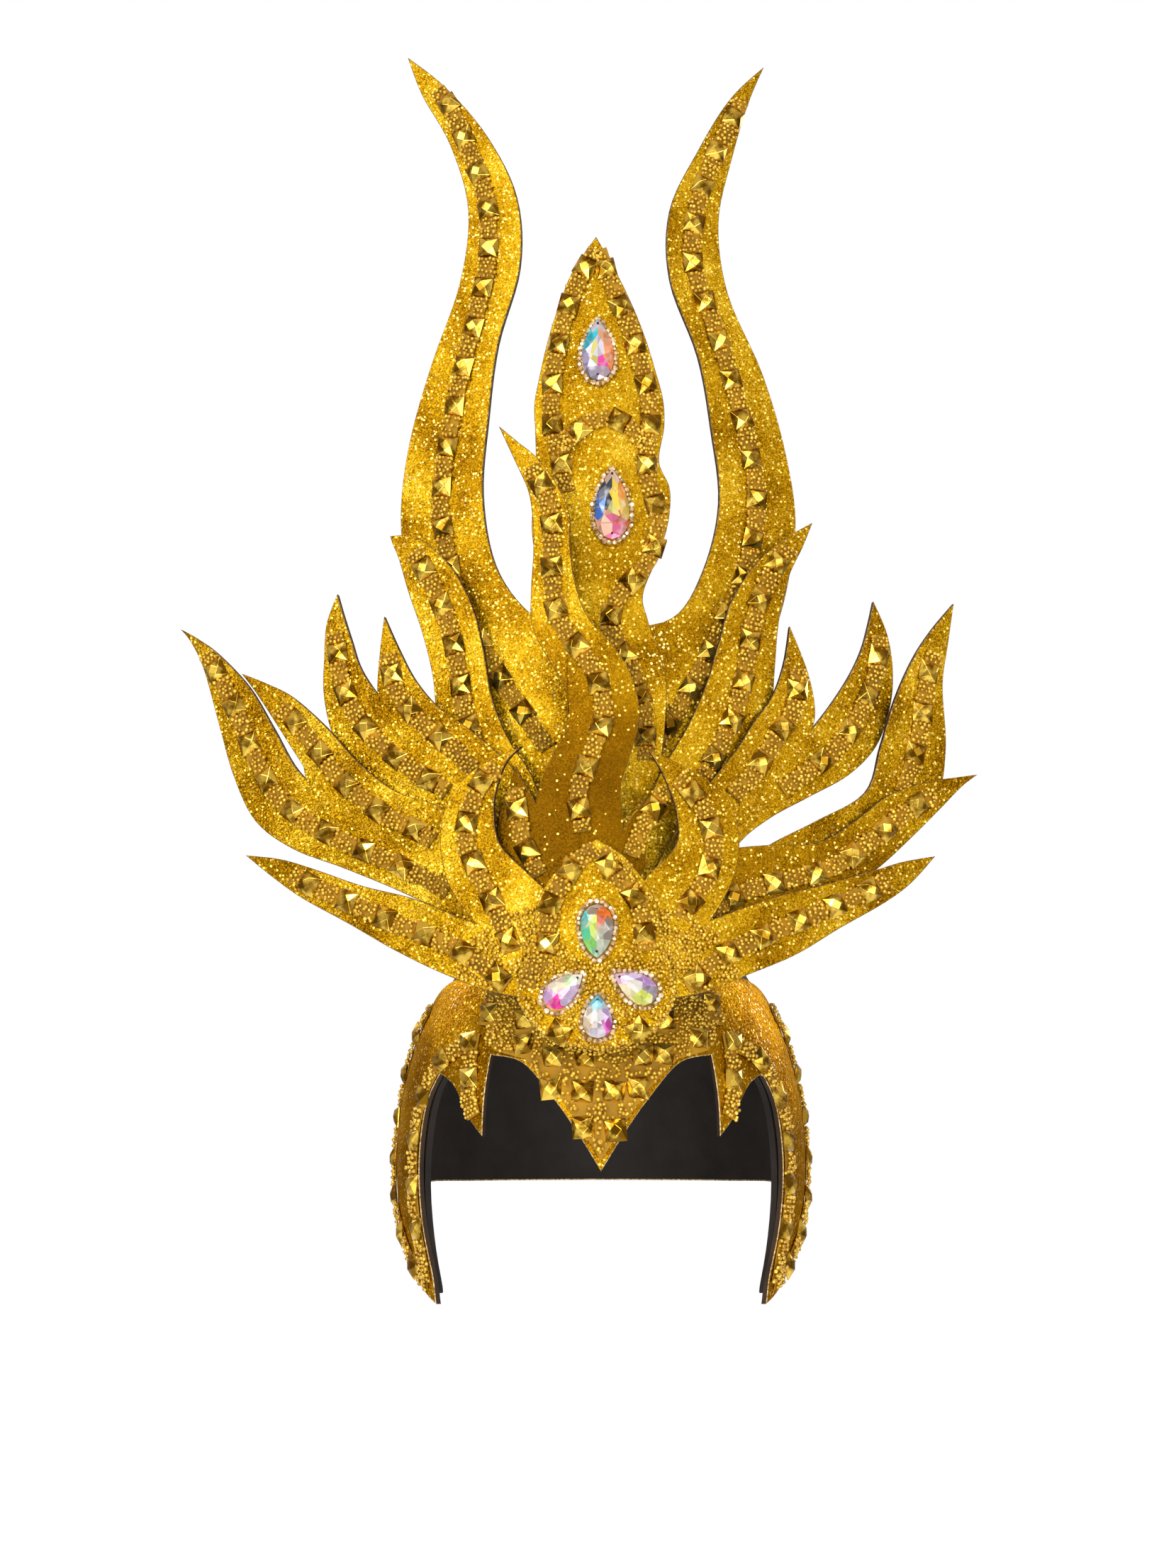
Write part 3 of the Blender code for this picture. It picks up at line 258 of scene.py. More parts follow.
# The glitter skin's torn edge with its glue: a rough hairline round each cut, gold on the sheets
# and pale on the wrap
skinRim, goldRim = [
    makeMottled(name, {"Roughness": 0.5, "Metallic": 0.2}, 0.0012, 3.0, stops) for name, stops in (
        ("skinRimGlue", ((0.35, "#7A5B2C"), (0.50, "#B79A63"), (0.65, "#E2CFA4"))),
        ("skinRimGold", ((0.35, "#4A3208"), (0.50, "#7C5A14"), (0.65, "#B88E30"))))]
studMetal = makeStudMetal()
# Gold-lined glass beads: glossy, with a warm glow of their own, each a slightly different tone
beadGold = makeMottled(
    "goldLinedBead", {"Metallic": 0.45, "Roughness": 0.28, "Coat Weight": 0.7, "Coat Roughness": 0.08},
    0.0022, 2.0, ((0.32, "#A87C08"), (0.50, "#D4A61A"), (0.68, "#FADC56")))
crystalStone = makeCrystalStone()
clearStone = makeClearStone()
# Stamped brass cups under the stones: plain metal, worn in places
stoneCup = makeMottled("stoneCup", {"Metallic": 1.0, "Roughness": 0.25}, 0.003, 2.0,
                       ((0.3, "#8C6826"), (0.7, "#C09A4C")))
print("made the materials")

# the head room, the sheets round it, and the way that the flames' layers stand behind each other
helmet = {"halfWidth": 0.0905, "halfDepth": 0.104, "height": 0.130, "lining": 0.003,
          "wrapGap": 0.0007, "flapDrop": 0.1925, "wrap": 0.158, "wrapCuts": 0.006,
          "binding": 0.004}
sheetFoam = {"thickness": 0.0025, "rim": 0.00035}
layering = {"front": -0.1087, "pitch": 0.0065, "bowRadius": 0.14, "bowSlope": 0.42,
            "rakeDegrees": 4.5, "root": -0.030}
seatGap = 0.0003


# a smooth curve through the points, with so many steps between each two
def smoothThrough(points, steps):
    last = len(points) - 1
    curve = []
    for i in range(last):
        before, start, end, after = (
            Vector(points[min(max(k, 0), last)]) for k in (i - 1, i, i + 1, i + 2))
        for step in range(steps):
            t = step / steps
            curve.append(0.5 * (2 * start + (end - before) * t
                                + (2 * before - 5 * start + 4 * end - after) * t * t
                                + (3 * start - before - 3 * end + after) * t * t * t))
    return curve + [Vector(points[last])]


def pathLength(path):
    return sum((b - a).length for a, b in zip(path, path[1:]))


# the point at a distance along the path, and the way that the path heads there
def pointAt(path, distance):
    for start, end in zip(path, path[1:]):
        step = (end - start).length
        if distance <= step or end is path[-1]:
            heading = (end - start).normalized()
            return start + heading * distance, heading
        distance -= step


def toRight(heading):
    return Vector((heading.y, -heading.x))


def distanceTo(point, path):
    def toSegment(a, b):
        share = (point - a).dot(b - a) / max((b - a).length_squared, 1e-12)
        return (a + (b - a) * max(0.0, min(1.0, share)) - point).length

    return min(toSegment(a, b) for a, b in zip(path, path[1:]))


# inside the outline, and at least so far from its edge
def insideBy(point, outline, margin=0.0):
    closed = outline + outline[:1]
    crossed = [a for a, b in zip(closed, closed[1:]) if (a.y > point.y) != (b.y > point.y)
               and point.x < a.x + (point.y - a.y) * (b.x - a.x) / (b.y - a.y)]
    return len(crossed) % 2 == 1 and (margin == 0 or distanceTo(point, closed) >= margin)


def mirrored(half):
    return half + [Vector((-p.x, p.y)) for p in half[:0:-1]]


# a layer's face: bowed round the head in plan and raked back as it rises
def layerPlace(layer):
    front = layering["front"] + (layer - 1) * layering["pitch"]
    slope = layering["bowSlope"]
    flat = layering["bowRadius"] * slope ** 2
    rake = math.tan(math.radians(layering["rakeDegrees"]))

    def place(x, z, height):
        reach = math.hypot(slope * x, flat)
        normal = Vector((slope ** 2 * x / reach, -1.0, rake)).normalized()
        face = Vector((x, front + reach - flat + rake * (z - layering["root"]), z))
        return face + normal * height

    return place


# the gold wrap's face: x is the distance round the head from the front
def wrapPlace(x, z, height):
    outset = helmet["lining"] + helmet["wrapGap"] + sheetFoam["thickness"]
    halfWidth, halfDepth = helmet["halfWidth"] + outset, helmet["halfDepth"] + outset
    turn = x / halfWidth
    level = (z + helmet["height"]) / (helmet["height"] + outset + height)
    spread = math.sqrt(max(0.0, 1.0 - level * level))
    return Vector(((halfWidth + height) * spread * math.sin(turn),
                   -(halfDepth + height) * spread * math.cos(turn), z))


def cutPlane(bm, place, normal, **cleared):
    bmesh.ops.bisect_plane(bm, geom=bm.verts[:] + bm.edges[:] + bm.faces[:], plane_co=place,
                           plane_no=normal, **cleared)


def cutAcross(bm, axis, places, **cleared):
    normal = Vector([float(k == axis) for k in range(3)])
    for place in places:
        cutPlane(bm, normal * place, normal, **cleared)


# the outlines joined into one flat face upright at y = 0, kept between limits in x, and cut across
# where it has to bend
def joinedFace(outlines, cuts=(), limits=(-1.0, 1.0)):
    bm = bmesh.new()
    points, loops = [], []
    for outline in outlines:
        doubled = sum(a.x * b.y - b.x * a.y for a, b in zip(outline, outline[1:] + outline[:1]))
        loops.append(list(range(len(points), len(points) + len(outline))))
        points += outline if doubled > 0 else outline[::-1]
    corners, _, triangles, _, _, sources = geometry.delaunay_2d_cdt(points, [], loops, 1, 1e-6, True)
    made = {}
    for triangle, source in zip(triangles, sources):
        if source:
            for i in triangle:
                if i not in made:
                    made[i] = bm.verts.new((corners[i].x, 0.0, corners[i].y))
            bm.faces.new([made[i] for i in triangle])
    bmesh.ops.dissolve_faces(bm, faces=bm.faces[:], use_verts=False)
    cutAcross(bm, 0, limits[:1], clear_inner=True)
    cutAcross(bm, 0, limits[1:], clear_outer=True)
    for axis, places in cuts:
        cutAcross(bm, axis, places)
    return bm


# extrudes the faces, and gives the new faces and their corners
def extruded(bm, faces):
    grown = bmesh.ops.extrude_face_region(bm, geom=faces)["geom"]
    return [[item for item in grown if isinstance(item, kind)]
            for kind in (bmesh.types.BMFace, bmesh.types.BMVert)]


def inset(bm, faces, width):
    return bmesh.ops.inset_region(bm, faces=faces, thickness=width, depth=0.0,
                                  use_even_offset=True, use_boundary=True)["faces"]


def faceOut(bm):
    bmesh.ops.recalc_face_normals(bm, faces=bm.faces[:])


def dress(name, mesh, materials, nodes):
    for material in materials:
        mesh.materials.append(material)
    piece = addObject(name, mesh)
    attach(piece, "root")
    if nodes:
        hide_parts(*nodes)


def pieceFrom(bm, name, materials, slot, *nodes, crease=35):
    mesh = bpy.data.meshes.new(name)
    faceOut(bm)
    bm.to_mesh(mesh)
    bm.free()
    mesh.shade_smooth()
    mesh.set_sharp_from_angle(angle=math.radians(crease))
    dress(name, mesh, materials, nodes)


# where a bowed sheet is cut across: closer round the middle, where it bends most
bowCuts = ((0, [i * 0.005 for i in range(-14, 15)]
            + [side * (0.070 + i * 0.012) for i in range(1, 12) for side in (-1, 1)]),)


# the outlines made a sheet of foam: glitter skin, rim, dark cut edge and plain back
def foamSheet(name, node, outlines, place, cuts=bowCuts, limits=(-1.0, 1.0), low=0.0,
              skin=glitterFoam, edge=goldRim):
    thick, rim = sheetFoam["thickness"], sheetFoam["rim"]
    bm = joinedFace(outlines, cuts, limits)
    back = bm.faces[:]
    for vertex in bm.verts:
        vertex.co.y = thick
    front, corners = extruded(bm, back)
    for vertex in corners:
        vertex.co.y = rim
    rims = inset(bm, front, rim)
    for mark, faces in ((2, bm.faces), (1, rims), (3, back), (0, front)):
        for face in faces:
            face.material_index = mark
    for face in front:
        for vertex in face.verts:
            vertex.co.y = 0.0
    for vertex in bm.verts:
        vertex.co = place(vertex.co.x, vertex.co.z, low - vertex.co.y)
    pieceFrom(bm, name, [skin, edge, cutFoam, blackFoam], "glitter_foam", node)


# the rows of the tables are in thousandths
def shares(*rows):
    return [[part / 1000 for part in row] for row in rows]


# a flame: its foot, length, lean from upright in degrees, breadth, and rows up to its tip: share of
# the length, sway to the right, and share of the breadth
def flame(footX, footZ, length, lean, breadth, *rows):
    return {"footX": footX, "footZ": footZ, "length": length, "lean": math.radians(lean),
            "breadth": breadth, "rows": shares(*rows, (1000, 0, 0))}


def bladePoint(blade, along, sideways):
    sine, cosine = math.sin(blade["lean"]), math.cos(blade["lean"])
    up = along * blade["length"]
    return Vector((blade["footX"] + up * sine + sideways * cosine,
                   blade["footZ"] + up * cosine - sideways * sine))


def bladeOutline(blade):
    left, right = [], []
    for along, sway, width in smoothThrough(blade["rows"], 6):
        middle, half = sway * blade["length"], max(width, 0.0) * blade["breadth"] / 2
        left.append(bladePoint(blade, along, middle - half))
        right.append(bladePoint(blade, along, middle + half))
    return right + left[-2::-1]


# the middle of a blade, from its tip down
def bladeSpine(blade, high, low):
    return [bladePoint(blade, along, sway * blade["length"])
            for along, sway, _ in smoothThrough(blade["rows"], 4)[::-1] if low <= along <= high]


def bandPath(blade, rows, unit):
    return [bladePoint(blade, along, side * unit) for along, side in smoothThrough(rows, 4)]


hornLeft = flame(
    0, -0.019, 0.441, -12.5, 0.03,
    (0, -15, 750), (120, -5, 1200), (220, -10, 2050), (280, -15, 2550), (310, -40, 2150),
    (340, -60, 1650), (400, -75, 1400), (480, -70, 1350), (560, -45, 1300), (640, -10, 1100),
    (720, 35, 1000), (800, 55, 800), (880, 45, 600), (950, 20, 400))
hornRight = flame(
    0, -0.019, 0.431, 10.7, 0.03,
    (0, 15, 650), (120, 10, 1100), (220, 20, 1950), (280, 25, 2450), (310, 35, 2400), (340, 70, 1600),
    (400, 85, 1350), (480, 85, 1250), (560, 60, 1200), (640, 25, 1050), (720, -25, 950),
    (800, -45, 800), (880, -35, 550), (950, -20, 300))
spear = flame(
    0.01, -0.03, 0.339, -2.1, 0.058,
    (0, -5, 300), (200, 15, 450), (350, 30, 500), (440, 5, 550), (480, -10, 650), (530, -15, 950),
    (580, -10, 1100), (630, -5, 1100), (670, -10, 1000), (720, -5, 1050), (760, -5, 1050),
    (800, -5, 950), (850, -5, 800), (900, -5, 600), (950, -5, 350))
upperLeft = flame(
    -0.019, -0.03, 0.211, -22.5, 0.026,
    (0, 0, 650), (120, 10, 800), (240, 15, 1000), (360, 10, 1200), (460, 0, 1100), (560, 5, 1050),
    (660, 30, 1000), (760, 45, 1000), (860, 45, 900), (940, 35, 600), (980, 20, 350))
upperRight = flame(
    0.017, -0.03, 0.218, 22.4, 0.03,
    (0, 0, 500), (120, -20, 750), (240, -25, 1000), (360, -10, 1200), (460, 0, 1150), (560, 0, 1100),
    (660, -20, 950), (760, -40, 800), (860, -40, 550), (940, -20, 300))
middleLeftOuter = flame(
    -0.028, -0.03, 0.193, -30, 0.03,
    (0, 10, 450), (150, 25, 450), (300, 30, 550), (400, 5, 700), (500, -45, 1100), (600, -85, 1150),
    (700, -105, 950), (800, -95, 700), (880, -65, 500), (950, -35, 300))
middleLeftInner = flame(
    -0.022, -0.03, 0.174, -27.2, 0.026,
    (0, 5, 400), (150, 25, 650), (300, 40, 900), (450, 35, 1100), (600, -5, 950), (700, -45, 850),
    (800, -60, 750), (900, -35, 400))
middleRightInner = flame(
    0.013, -0.03, 0.167, 26.7, 0.026,
    (0, 5, 500), (150, 20, 650), (300, 40, 850), (450, 65, 950), (600, 95, 950), (700, 105, 950),
    (800, 110, 850), (900, 70, 500))
middleRightOuter = flame(
    0.023, -0.03, 0.195, 32.8, 0.03,
    (0, 5, 450), (150, 5, 550), (300, 5, 500), (400, 30, 550), (500, 70, 700), (600, 105, 900),
    (700, 120, 950), (800, 110, 800), (880, 85, 600), (950, 45, 350))
outerLeftLow = flame(
    -0.028, -0.03, 0.232, -48.3, 0.034,
    (0, 0, 400), (100, -20, 550), (200, -40, 600), (300, -65, 650), (400, -95, 700), (500, -120, 850),
    (600, -125, 900), (700, -90, 850), (800, -45, 650), (900, -10, 300), (960, 0, 100))
outerLeftHigh = flame(
    -0.028, -0.03, 0.193, -47.4, 0.03,
    (0, 5, 400), (120, 5, 600), (250, 10, 850), (380, 5, 1000), (500, -25, 800), (620, -30, 750),
    (740, -10, 650), (860, 5, 450), (940, 5, 200))
outerRightHigh = flame(
    0.026, -0.03, 0.217, 40.7, 0.034,
    (0, 0, 400), (150, 55, 600), (300, 105, 850), (420, 150, 850), (540, 185, 800), (640, 165, 1050),
    (740, 115, 950), (840, 55, 550), (920, 25, 300))
outerRightLow = flame(
    0.026, -0.03, 0.171, 61.5, 0.034,
    (0, 0, 350), (120, 0, 850), (250, -10, 1200), (380, 15, 1050), (500, 40, 750), (620, 30, 700),
    (740, 5, 650), (860, -5, 400), (940, -5, 150))
centreTall = flame(
    -0.003, -0.03, 0.244, -10.5, 0.034,
    (0, 0, 900), (100, 5, 1000), (200, 15, 1100), (270, 20, 1150), (330, 50, 1150), (400, 90, 1000),
    (470, 95, 900), (530, 75, 900), (600, 45, 750), (670, 45, 600), (740, 55, 500), (800, 65, 500),
    (860, 60, 400), (920, 40, 300), (960, 20, 150))
centreLobeLeft = flame(
    -0.006, -0.03, 0.086, -22.4, 0.024,
    (0, -60, 850), (280, -80, 800), (450, -105, 850), (630, -110, 900), (770, -80, 750), (890, -40, 350))
centreLobeRight = flame(
    0.001, -0.03, 0.08, 22.1, 0.02,
    (0, 0, 600), (280, -30, 750), (450, -35, 750), (630, -35, 750), (770, -20, 650), (890, -10, 450))
wingLeft = flame(
    -0.009, -0.047, 0.166, -69.1, 0.026,
    (0, 0, 1000), (200, -35, 1050), (350, -40, 1000), (500, -30, 950), (650, -25, 700), (800, -15, 550),
    (900, -5, 350))
wingRight = flame(
    0.007, -0.047, 0.158, 68.3, 0.026,
    (0, 0, 1000), (200, 35, 1100), (350, 35, 1100), (500, 35, 1050), (650, 30, 800), (800, 25, 600),
    (900, 15, 400))
innerHornLeft = flame(
    -0.018, -0.047, 0.106, -9.7, 0.03,
    (0, -25, 1000), (150, -70, 1150), (300, -135, 1300), (450, -225, 1200), (600, -285, 900),
    (750, -275, 800), (860, -225, 700), (950, -135, 450))
innerHornRight = flame(
    0.013, -0.047, 0.102, 5, 0.03,
    (0, 30, 1050), (150, 85, 1150), (300, 145, 1300), (450, 220, 1250), (600, 290, 950),
    (750, 270, 900), (860, 210, 800), (950, 105, 450))

# the bands on the spear and the horns: node, layer, blade, the size that sway is a share of, and
# rows from the tip down: share of the length, and sway
backBands = {
    "spearBand": (
        "spear_studs", 6, spear, "breadth",
        (shares(
            (980, -10), (950, -110), (915, -210), (870, -300), (820, -370), (770, -410), (725, -410),
            (680, -360), (630, -330)),),
        (shares(
            (980, 20), (950, 70), (915, 140), (870, 230), (820, 310), (770, 370), (725, 380),
            (680, 340), (640, 350), (590, 410), (530, 330), (475, 60), (430, 0), (380, 140), (320, 230),
            (250, 240)),),
        (shares(
            (690, -360), (722, -170), (733, 20), (722, 200), (690, 360)), 0.0135)),
    "hornBand_left": (
        "horn_studs_left", 7, hornLeft, "length",
        (shares(
            (950, 25), (920, 35), (850, 46), (800, 50), (740, 38), (690, 17), (600, -26), (500, -65),
            (440, -74), (370, -72), (300, -55), (250, -38), (190, -15)),)),
    "hornBand_right": (
        "horn_studs_right", 7, hornRight, "length",
        (shares(
            (950, -18), (910, -28), (850, -41), (790, -44), (740, -35), (650, 15), (550, 62), (480, 83),
            (400, 82), (350, 70), (300, 58), (250, 42), (170, 12)),))}
# the bands of the front layer: blade, pitch, and rows as above
frontBands = {
    "wing_studs_left": (wingLeft, 0.0196, shares(
        (852, -5), (793, -15), (654, -25), (521, -34), (406, -37), (295, -51), (205, -77), (175, -86))),
    "wing_studs_right": (wingRight, 0.018, shares(
        (833, 13), (769, 25), (629, 31), (519, 36), (406, 41), (293, 52), (202, 86), (171, 93))),
    "inner_horn_studs_left": (innerHornLeft, 0.0192, shares(
        (923, -111), (880, -194), (686, -293), (524, -274), (336, -218), (190, -188), (142, -180))),
    "inner_horn_studs_right": (innerHornRight, 0.018, shares(
        (895, 125), (822, 215), (661, 306), (470, 293), (324, 215), (280, 198)))}

medallion = {"middle": -0.002, "top": 0.0144, "height": 0.094, "width": 0.072, "pitch": 0.0175}
# rows of share of its height down and of its width aside
medallionRows = shares(
    (0, 0), (70, 150), (145, 237), (210, 302), (310, 362), (450, 390), (560, 425), (670, 470),
    (740, 475), (810, 440), (900, 345), (960, 225), (1000, 0))
medallionBands = {
    "Left": (-1, 0.0148, shares(
        (45, 7), (90, 87), (147, 158), (235, 227), (325, 284), (430, 297), (525, 302), (590, 350),
        (655, 408), (705, 417))),
    "Right": (1, 0.008, shares(
        (50, 28), (128, 74), (200, 163), (282, 236), (370, 278), (469, 290), (530, 303))),
    "LowLeft": (-1, 0.005, shares(
        (882, 276), (912, 222), (936, 170))),
    "LowRight": (1, 0.005, shares(
        (868, 300), (897, 245), (924, 190)))}
# the leaf of plain glitter round the top drop; beads fill the rest
medallionLeaf = shares(
    (60, 0), (150, 120), (270, 200), (400, 215), (490, 210), (560, 130), (600, 0))

# the drops: where each sits, its size, how it is turned, and its rainbow colours by place, from
# -1, -1 at its lower left to 1, 1 at its upper right, with the point up
drops = {
    "crystal_top": {
        "x": -0.0018, "z": -0.027, "length": 0.0235, "width": 0.0145, "turn": 180, "point": 0.4,
        "ring": 0.0025, "zones": (
            (0.8, -0.5, "#6FE0E0"), (0.7, 0.1, "#66D8A8"), (0.3, -0.2, "#D8F27A"),
            (0.4, 0.5, "#90DC74"), (0.2, -0.9, "#B8A898"), (-0.5, -0.6, "#FF7F26"),
            (-0.3, -0.3, "#E88470"), (-0.6, 0, "#A09890"), (-0.1, 0.2, "#DCE2C8"),
            (-0.3, 0.6, "#BEC8B8"), (0, 0.9, "#96CCB0"))},
    "crystal_left": {
        "x": -0.0158, "z": -0.053, "length": 0.0205, "width": 0.0125, "turn": 51, "ring": 0.0024,
        "zones": (
            (-0.6, -0.7, "#D8B0E8"), (0.3, -0.6, "#EE2E9E"), (-0.7, 0, "#F0E6D8"),
            (-0.3, 0.5, "#CDEEB8"), (-0.1, 0.8, "#F8F8F0"), (-0.3, -0.1, "#F6F2C0"),
            (0.6, 0.1, "#CBB2DA"), (0.1, -0.2, "#F4C8E4"))},
    "crystal_right": {
        "x": 0.0145, "z": -0.0515, "length": 0.021, "width": 0.0128, "turn": -61, "ring": 0.0024,
        "zones": (
            (0.1, 0.1, "#FAF8F2"), (0.7, -0.3, "#C49AE2"), (-0.3, -0.4, "#D8E26A"),
            (0.1, -0.7, "#9A8EA4"), (0, 0.6, "#E6BCDA"), (-0.6, 0.2, "#EADFAE"), (0.5, 0.4, "#D6C4F0"))},
    "crystal_bottom": {
        "x": -0.0015, "z": -0.0648, "length": 0.019, "width": 0.013, "turn": 0, "ring": 0.0022,
        "zones": (
            (0, 0.6, "#84D8F4"), (-0.5, 0, "#F2ECE2"), (0.6, 0, "#CAB0E6"), (0.7, -0.5, "#E060C8"),
            (0, -0.1, "#FAFAFF"), (-0.7, -0.4, "#DCC8AE"), (0.1, -0.7, "#C2B8CC"), (0.3, 0.3, "#D2E6F8"))},
    "spear_crystal_high": {
        "x": -0.0015, "z": 0.2515, "length": 0.03, "width": 0.0152, "turn": 0, "ring": 0.0021,
        "zones": (
            (-0.4, 0.35, "#3CC8E4"), (0.35, 0.3, "#F0B08A"), (0, 0.1, "#D8D4E4"),
            (0.6, -0.2, "#FF9A5C"), (0.3, -0.45, "#E04AA8"), (-0.25, -0.2, "#F2EC8C"),
            (-0.7, -0.3, "#A8A0C4"), (-0.4, -0.7, "#8E86A0"), (0.2, -0.85, "#C8B4C8"),
            (0, 0.8, "#B8B4C4"))},
    "spear_crystal_low": {
        "x": 0.005, "z": 0.176, "length": 0.0338, "width": 0.0164, "turn": 0, "ring": 0.0022, "zones": (
            (-0.4, 0.4, "#3E4658"), (-0.7, -0.1, "#4A78D0"), (0.15, 0.2, "#FFE05A"),
            (0.45, 0.4, "#FFA83C"), (0.6, -0.1, "#E8C860"), (0.1, -0.15, "#E6E07A"),
            (0.55, -0.5, "#D85A4A"), (0.05, -0.65, "#F07AA8"), (-0.5, -0.5, "#F2B49A"),
            (0, 0.8, "#D8B8A8"))}}

# the lining's rim: degrees round from the front, and share of the flaps' drop
liningRim = (
    (0, -0.36), (18, -0.36), (34, -0.37), (46, -0.4), (53, -0.46), (57, -0.53), (59, -0.68),
    (60, -0.84), (62, -0.96), (66, -0.97), (74, -0.92), (84, -0.81), (96, -0.74), (112, -0.72),
    (134, -0.72), (158, -0.72), (180, -0.72))
# the wrap and what lies on it: shares of the way round to its rear edge and of the flaps' drop;
# its edge comes in runs that meet at its corners
wrapEdge = (
    shares(
        (0, -684), (64, -600), (137, -520), (240, -437), (356, -417)),
    shares(
        (356, -417), (360, -510), (357, -605)),
    shares(
        (357, -605), (406, -566), (444, -525), (494, -483), (565, -457)),
    shares(
        (565, -457), (608, -516), (624, -582), (632, -683), (629, -816), (622, -930), (656, -1000)),
    shares(
        (656, -1000), (725, -971), (821, -894), (927, -779), (1000, -634), (1000, -494), (960, -364),
        (853, -260), (533, -218), (0, -234)))
fieldEdge = shares(
    (0, -660), (58, -583), (130, -503), (232, -428), (340, -408), (380, -384), (390, -348), (428, -345),
    (432, -268))
fieldStuds = shares(
    (-144, -426), (-46, -426), (123, -423), (188, -420), (-145, -496), (-54, -504), (36, -504),
    (106, -496), (-50, -585), (40, -592), (-249, -339), (-394, -320), (-243, -396), (210, -339),
    (317, -381), (400, -297))
fieldClusters = shares(
    (-182, -459), (-95, -467), (0, -474), (99, -461), (162, -462), (-101, -548), (-12, -548),
    (77, -548), (-5, -635))
clusterLook = {"radius": 0.0062, "rise": 0.002, "groove": 0.0008}
# the flaps' bands and the claws', each with its lead
flapBands = (
    (0.006, shares(
        (412, -385), (450, -388), (500, -402), (560, -424), (612, -472), (642, -530), (658, -600),
        (665, -690), (662, -800), (655, -880), (665, -945))),
    (0.014, shares(
        (668, -950), (730, -920), (800, -862), (893, -765), (968, -634), (968, -500), (930, -385),
        (835, -295))),
    (0.013, shares(
        (430, -405), (427, -450), (418, -492), (402, -535), (388, -560))))
print("read the tables")


# a mesh that comes many times, or one that stays where it is
def templateOf(bm, smooth=False):
    faceOut(bm)
    template = {"corners": [vertex.co.copy() for vertex in bm.verts], "smooth": smooth,
                "faces": [[vertex.index for vertex in face.verts] for face in bm.faces]}
    bm.free()
    return template


def makeHull(bm, flat):
    bmesh.ops.convex_hull(bm, input=bm.verts[:])
    bmesh.ops.dissolve_limit(bm, angle_limit=math.radians(flat), verts=bm.verts[:],
                             edges=bm.edges[:])
    return bm


# the hull of flat rings: sides, radius, height and turn in degrees
def hullOfRings(*rings):
    bm = bmesh.new()
    for sides, radius, height, turn in rings:
        bmesh.ops.create_circle(bm, segments=sides, radius=radius, matrix=(
            Matrix.Translation((0, 0, height)) @ Matrix.Rotation(math.radians(turn), 4, "Z")))
    return makeHull(bm, 1)


# joins copies of templates: each batch is a template and its matrices, with a material of its own
def joinCopies(name, batches, materials, slot, *nodes):
    corners, faces, marks, smooth = [], [], [], []
    for mark, (template, matrices) in enumerate(batches):
        for matrix in matrices:
            faces += [[len(corners) + i for i in row] for row in template["faces"]]
            corners += [matrix @ corner for corner in template["corners"]]
        many = len(matrices) * len(template["faces"])
        marks += [mark % len(materials)] * many
        smooth += [template["smooth"]] * many
    mesh = bpy.data.meshes.new(name)
    mesh.from_pydata(corners, [], faces)
    mesh.polygons.foreach_set("material_index", marks)
    mesh.polygons.foreach_set("use_smooth", smooth)
    dress(name, mesh, materials, nodes)


# the frame of something seated on a surface: X to the side, Y ahead, Z outward
def frameOn(place, point, heading, height):
    spot = place(point.x, point.y, height)
    ahead = place(point.x + heading.x * 1e-4, point.y + heading.y * 1e-4, height) - spot
    outward = (place(point.x, point.y, height + 0.001) - spot).normalized()
    side = ahead.normalized().cross(outward).normalized()
    axes = Matrix((side, outward.cross(side), outward)).transposed()
    return Matrix.Translation(spot) @ axes.to_4x4()


def jostled(matrix, spin, tilt):
    for axis, limit in (("X", tilt), ("Y", tilt), ("Z", spin)):
        turn = math.radians(seeded.uniform(-limit, limit))
        matrix = matrix @ Matrix.Rotation(turn, 4, axis)
    return matrix


# a square stud is a low pyramid cut by a table that is turned 45 degrees
stud = {"side": 0.0096, "girdle": 0.0008, "draft": 0.985, "top": 0.0032, "table": 0.55,
        "bevel": 0.00014, "pitch": 0.020, "lead": 0.010, "spin": 6.0, "tilt": 6.0, "clear": 0.0007}
bead = {"radius": 0.00096, "across": 0.00205, "along": 0.00178, "rows": 4, "wobble": 0.00050,
        "least": 0.74, "most": 1.16, "missed": 0.06, "strayed": 0.5, "strayedIn": 0.0009,
        "margin": 0.8, "offDrop": 0.000384, "field": 0.0020, "fieldRow": 0.87, "fieldAstray": 0.2}
strip = {"width": 0.0086, "thickness": 0.0004, "backing": 0.0074, "step": 0.004}
upward = Vector((0.0, 1.0))


def makeStudTemplate():
    corner = stud["side"] / math.sqrt(2)
    bm = hullOfRings((4, corner * stud["draft"], 0.0, 45), (4, corner, stud["girdle"] * 0.5, 45),
                     (4, corner * stud["draft"], stud["girdle"], 45),
                     (4, stud["side"] / 2 * stud["table"], stud["top"], 0))
    upper = [edge for edge in bm.edges if max(v.co.z for v in edge.verts) > stud["top"] * 0.9]
    bmesh.ops.bevel(bm, geom=upper, offset=stud["bevel"], segments=1, profile=0.5, affect="EDGES",
                    clamp_overlap=True, material=-1)
    return templateOf(bm)


# a bead's rings: sides, and shares of its radius out and up
def makeBeadTemplate():
    rings = ((6, 0.75, -0.66, 0), (8, 1.0, 0.0, 20), (6, 0.75, 0.66, 0), (3, 0.2, 0.97, 0))
    return templateOf(hullOfRings(*((sides, bead["radius"] * out, bead["radius"] * up, turn)
                                    for sides, out, up, turn in rings)), smooth=True)


studTemplate = makeStudTemplate()
beadTemplate = makeBeadTemplate()


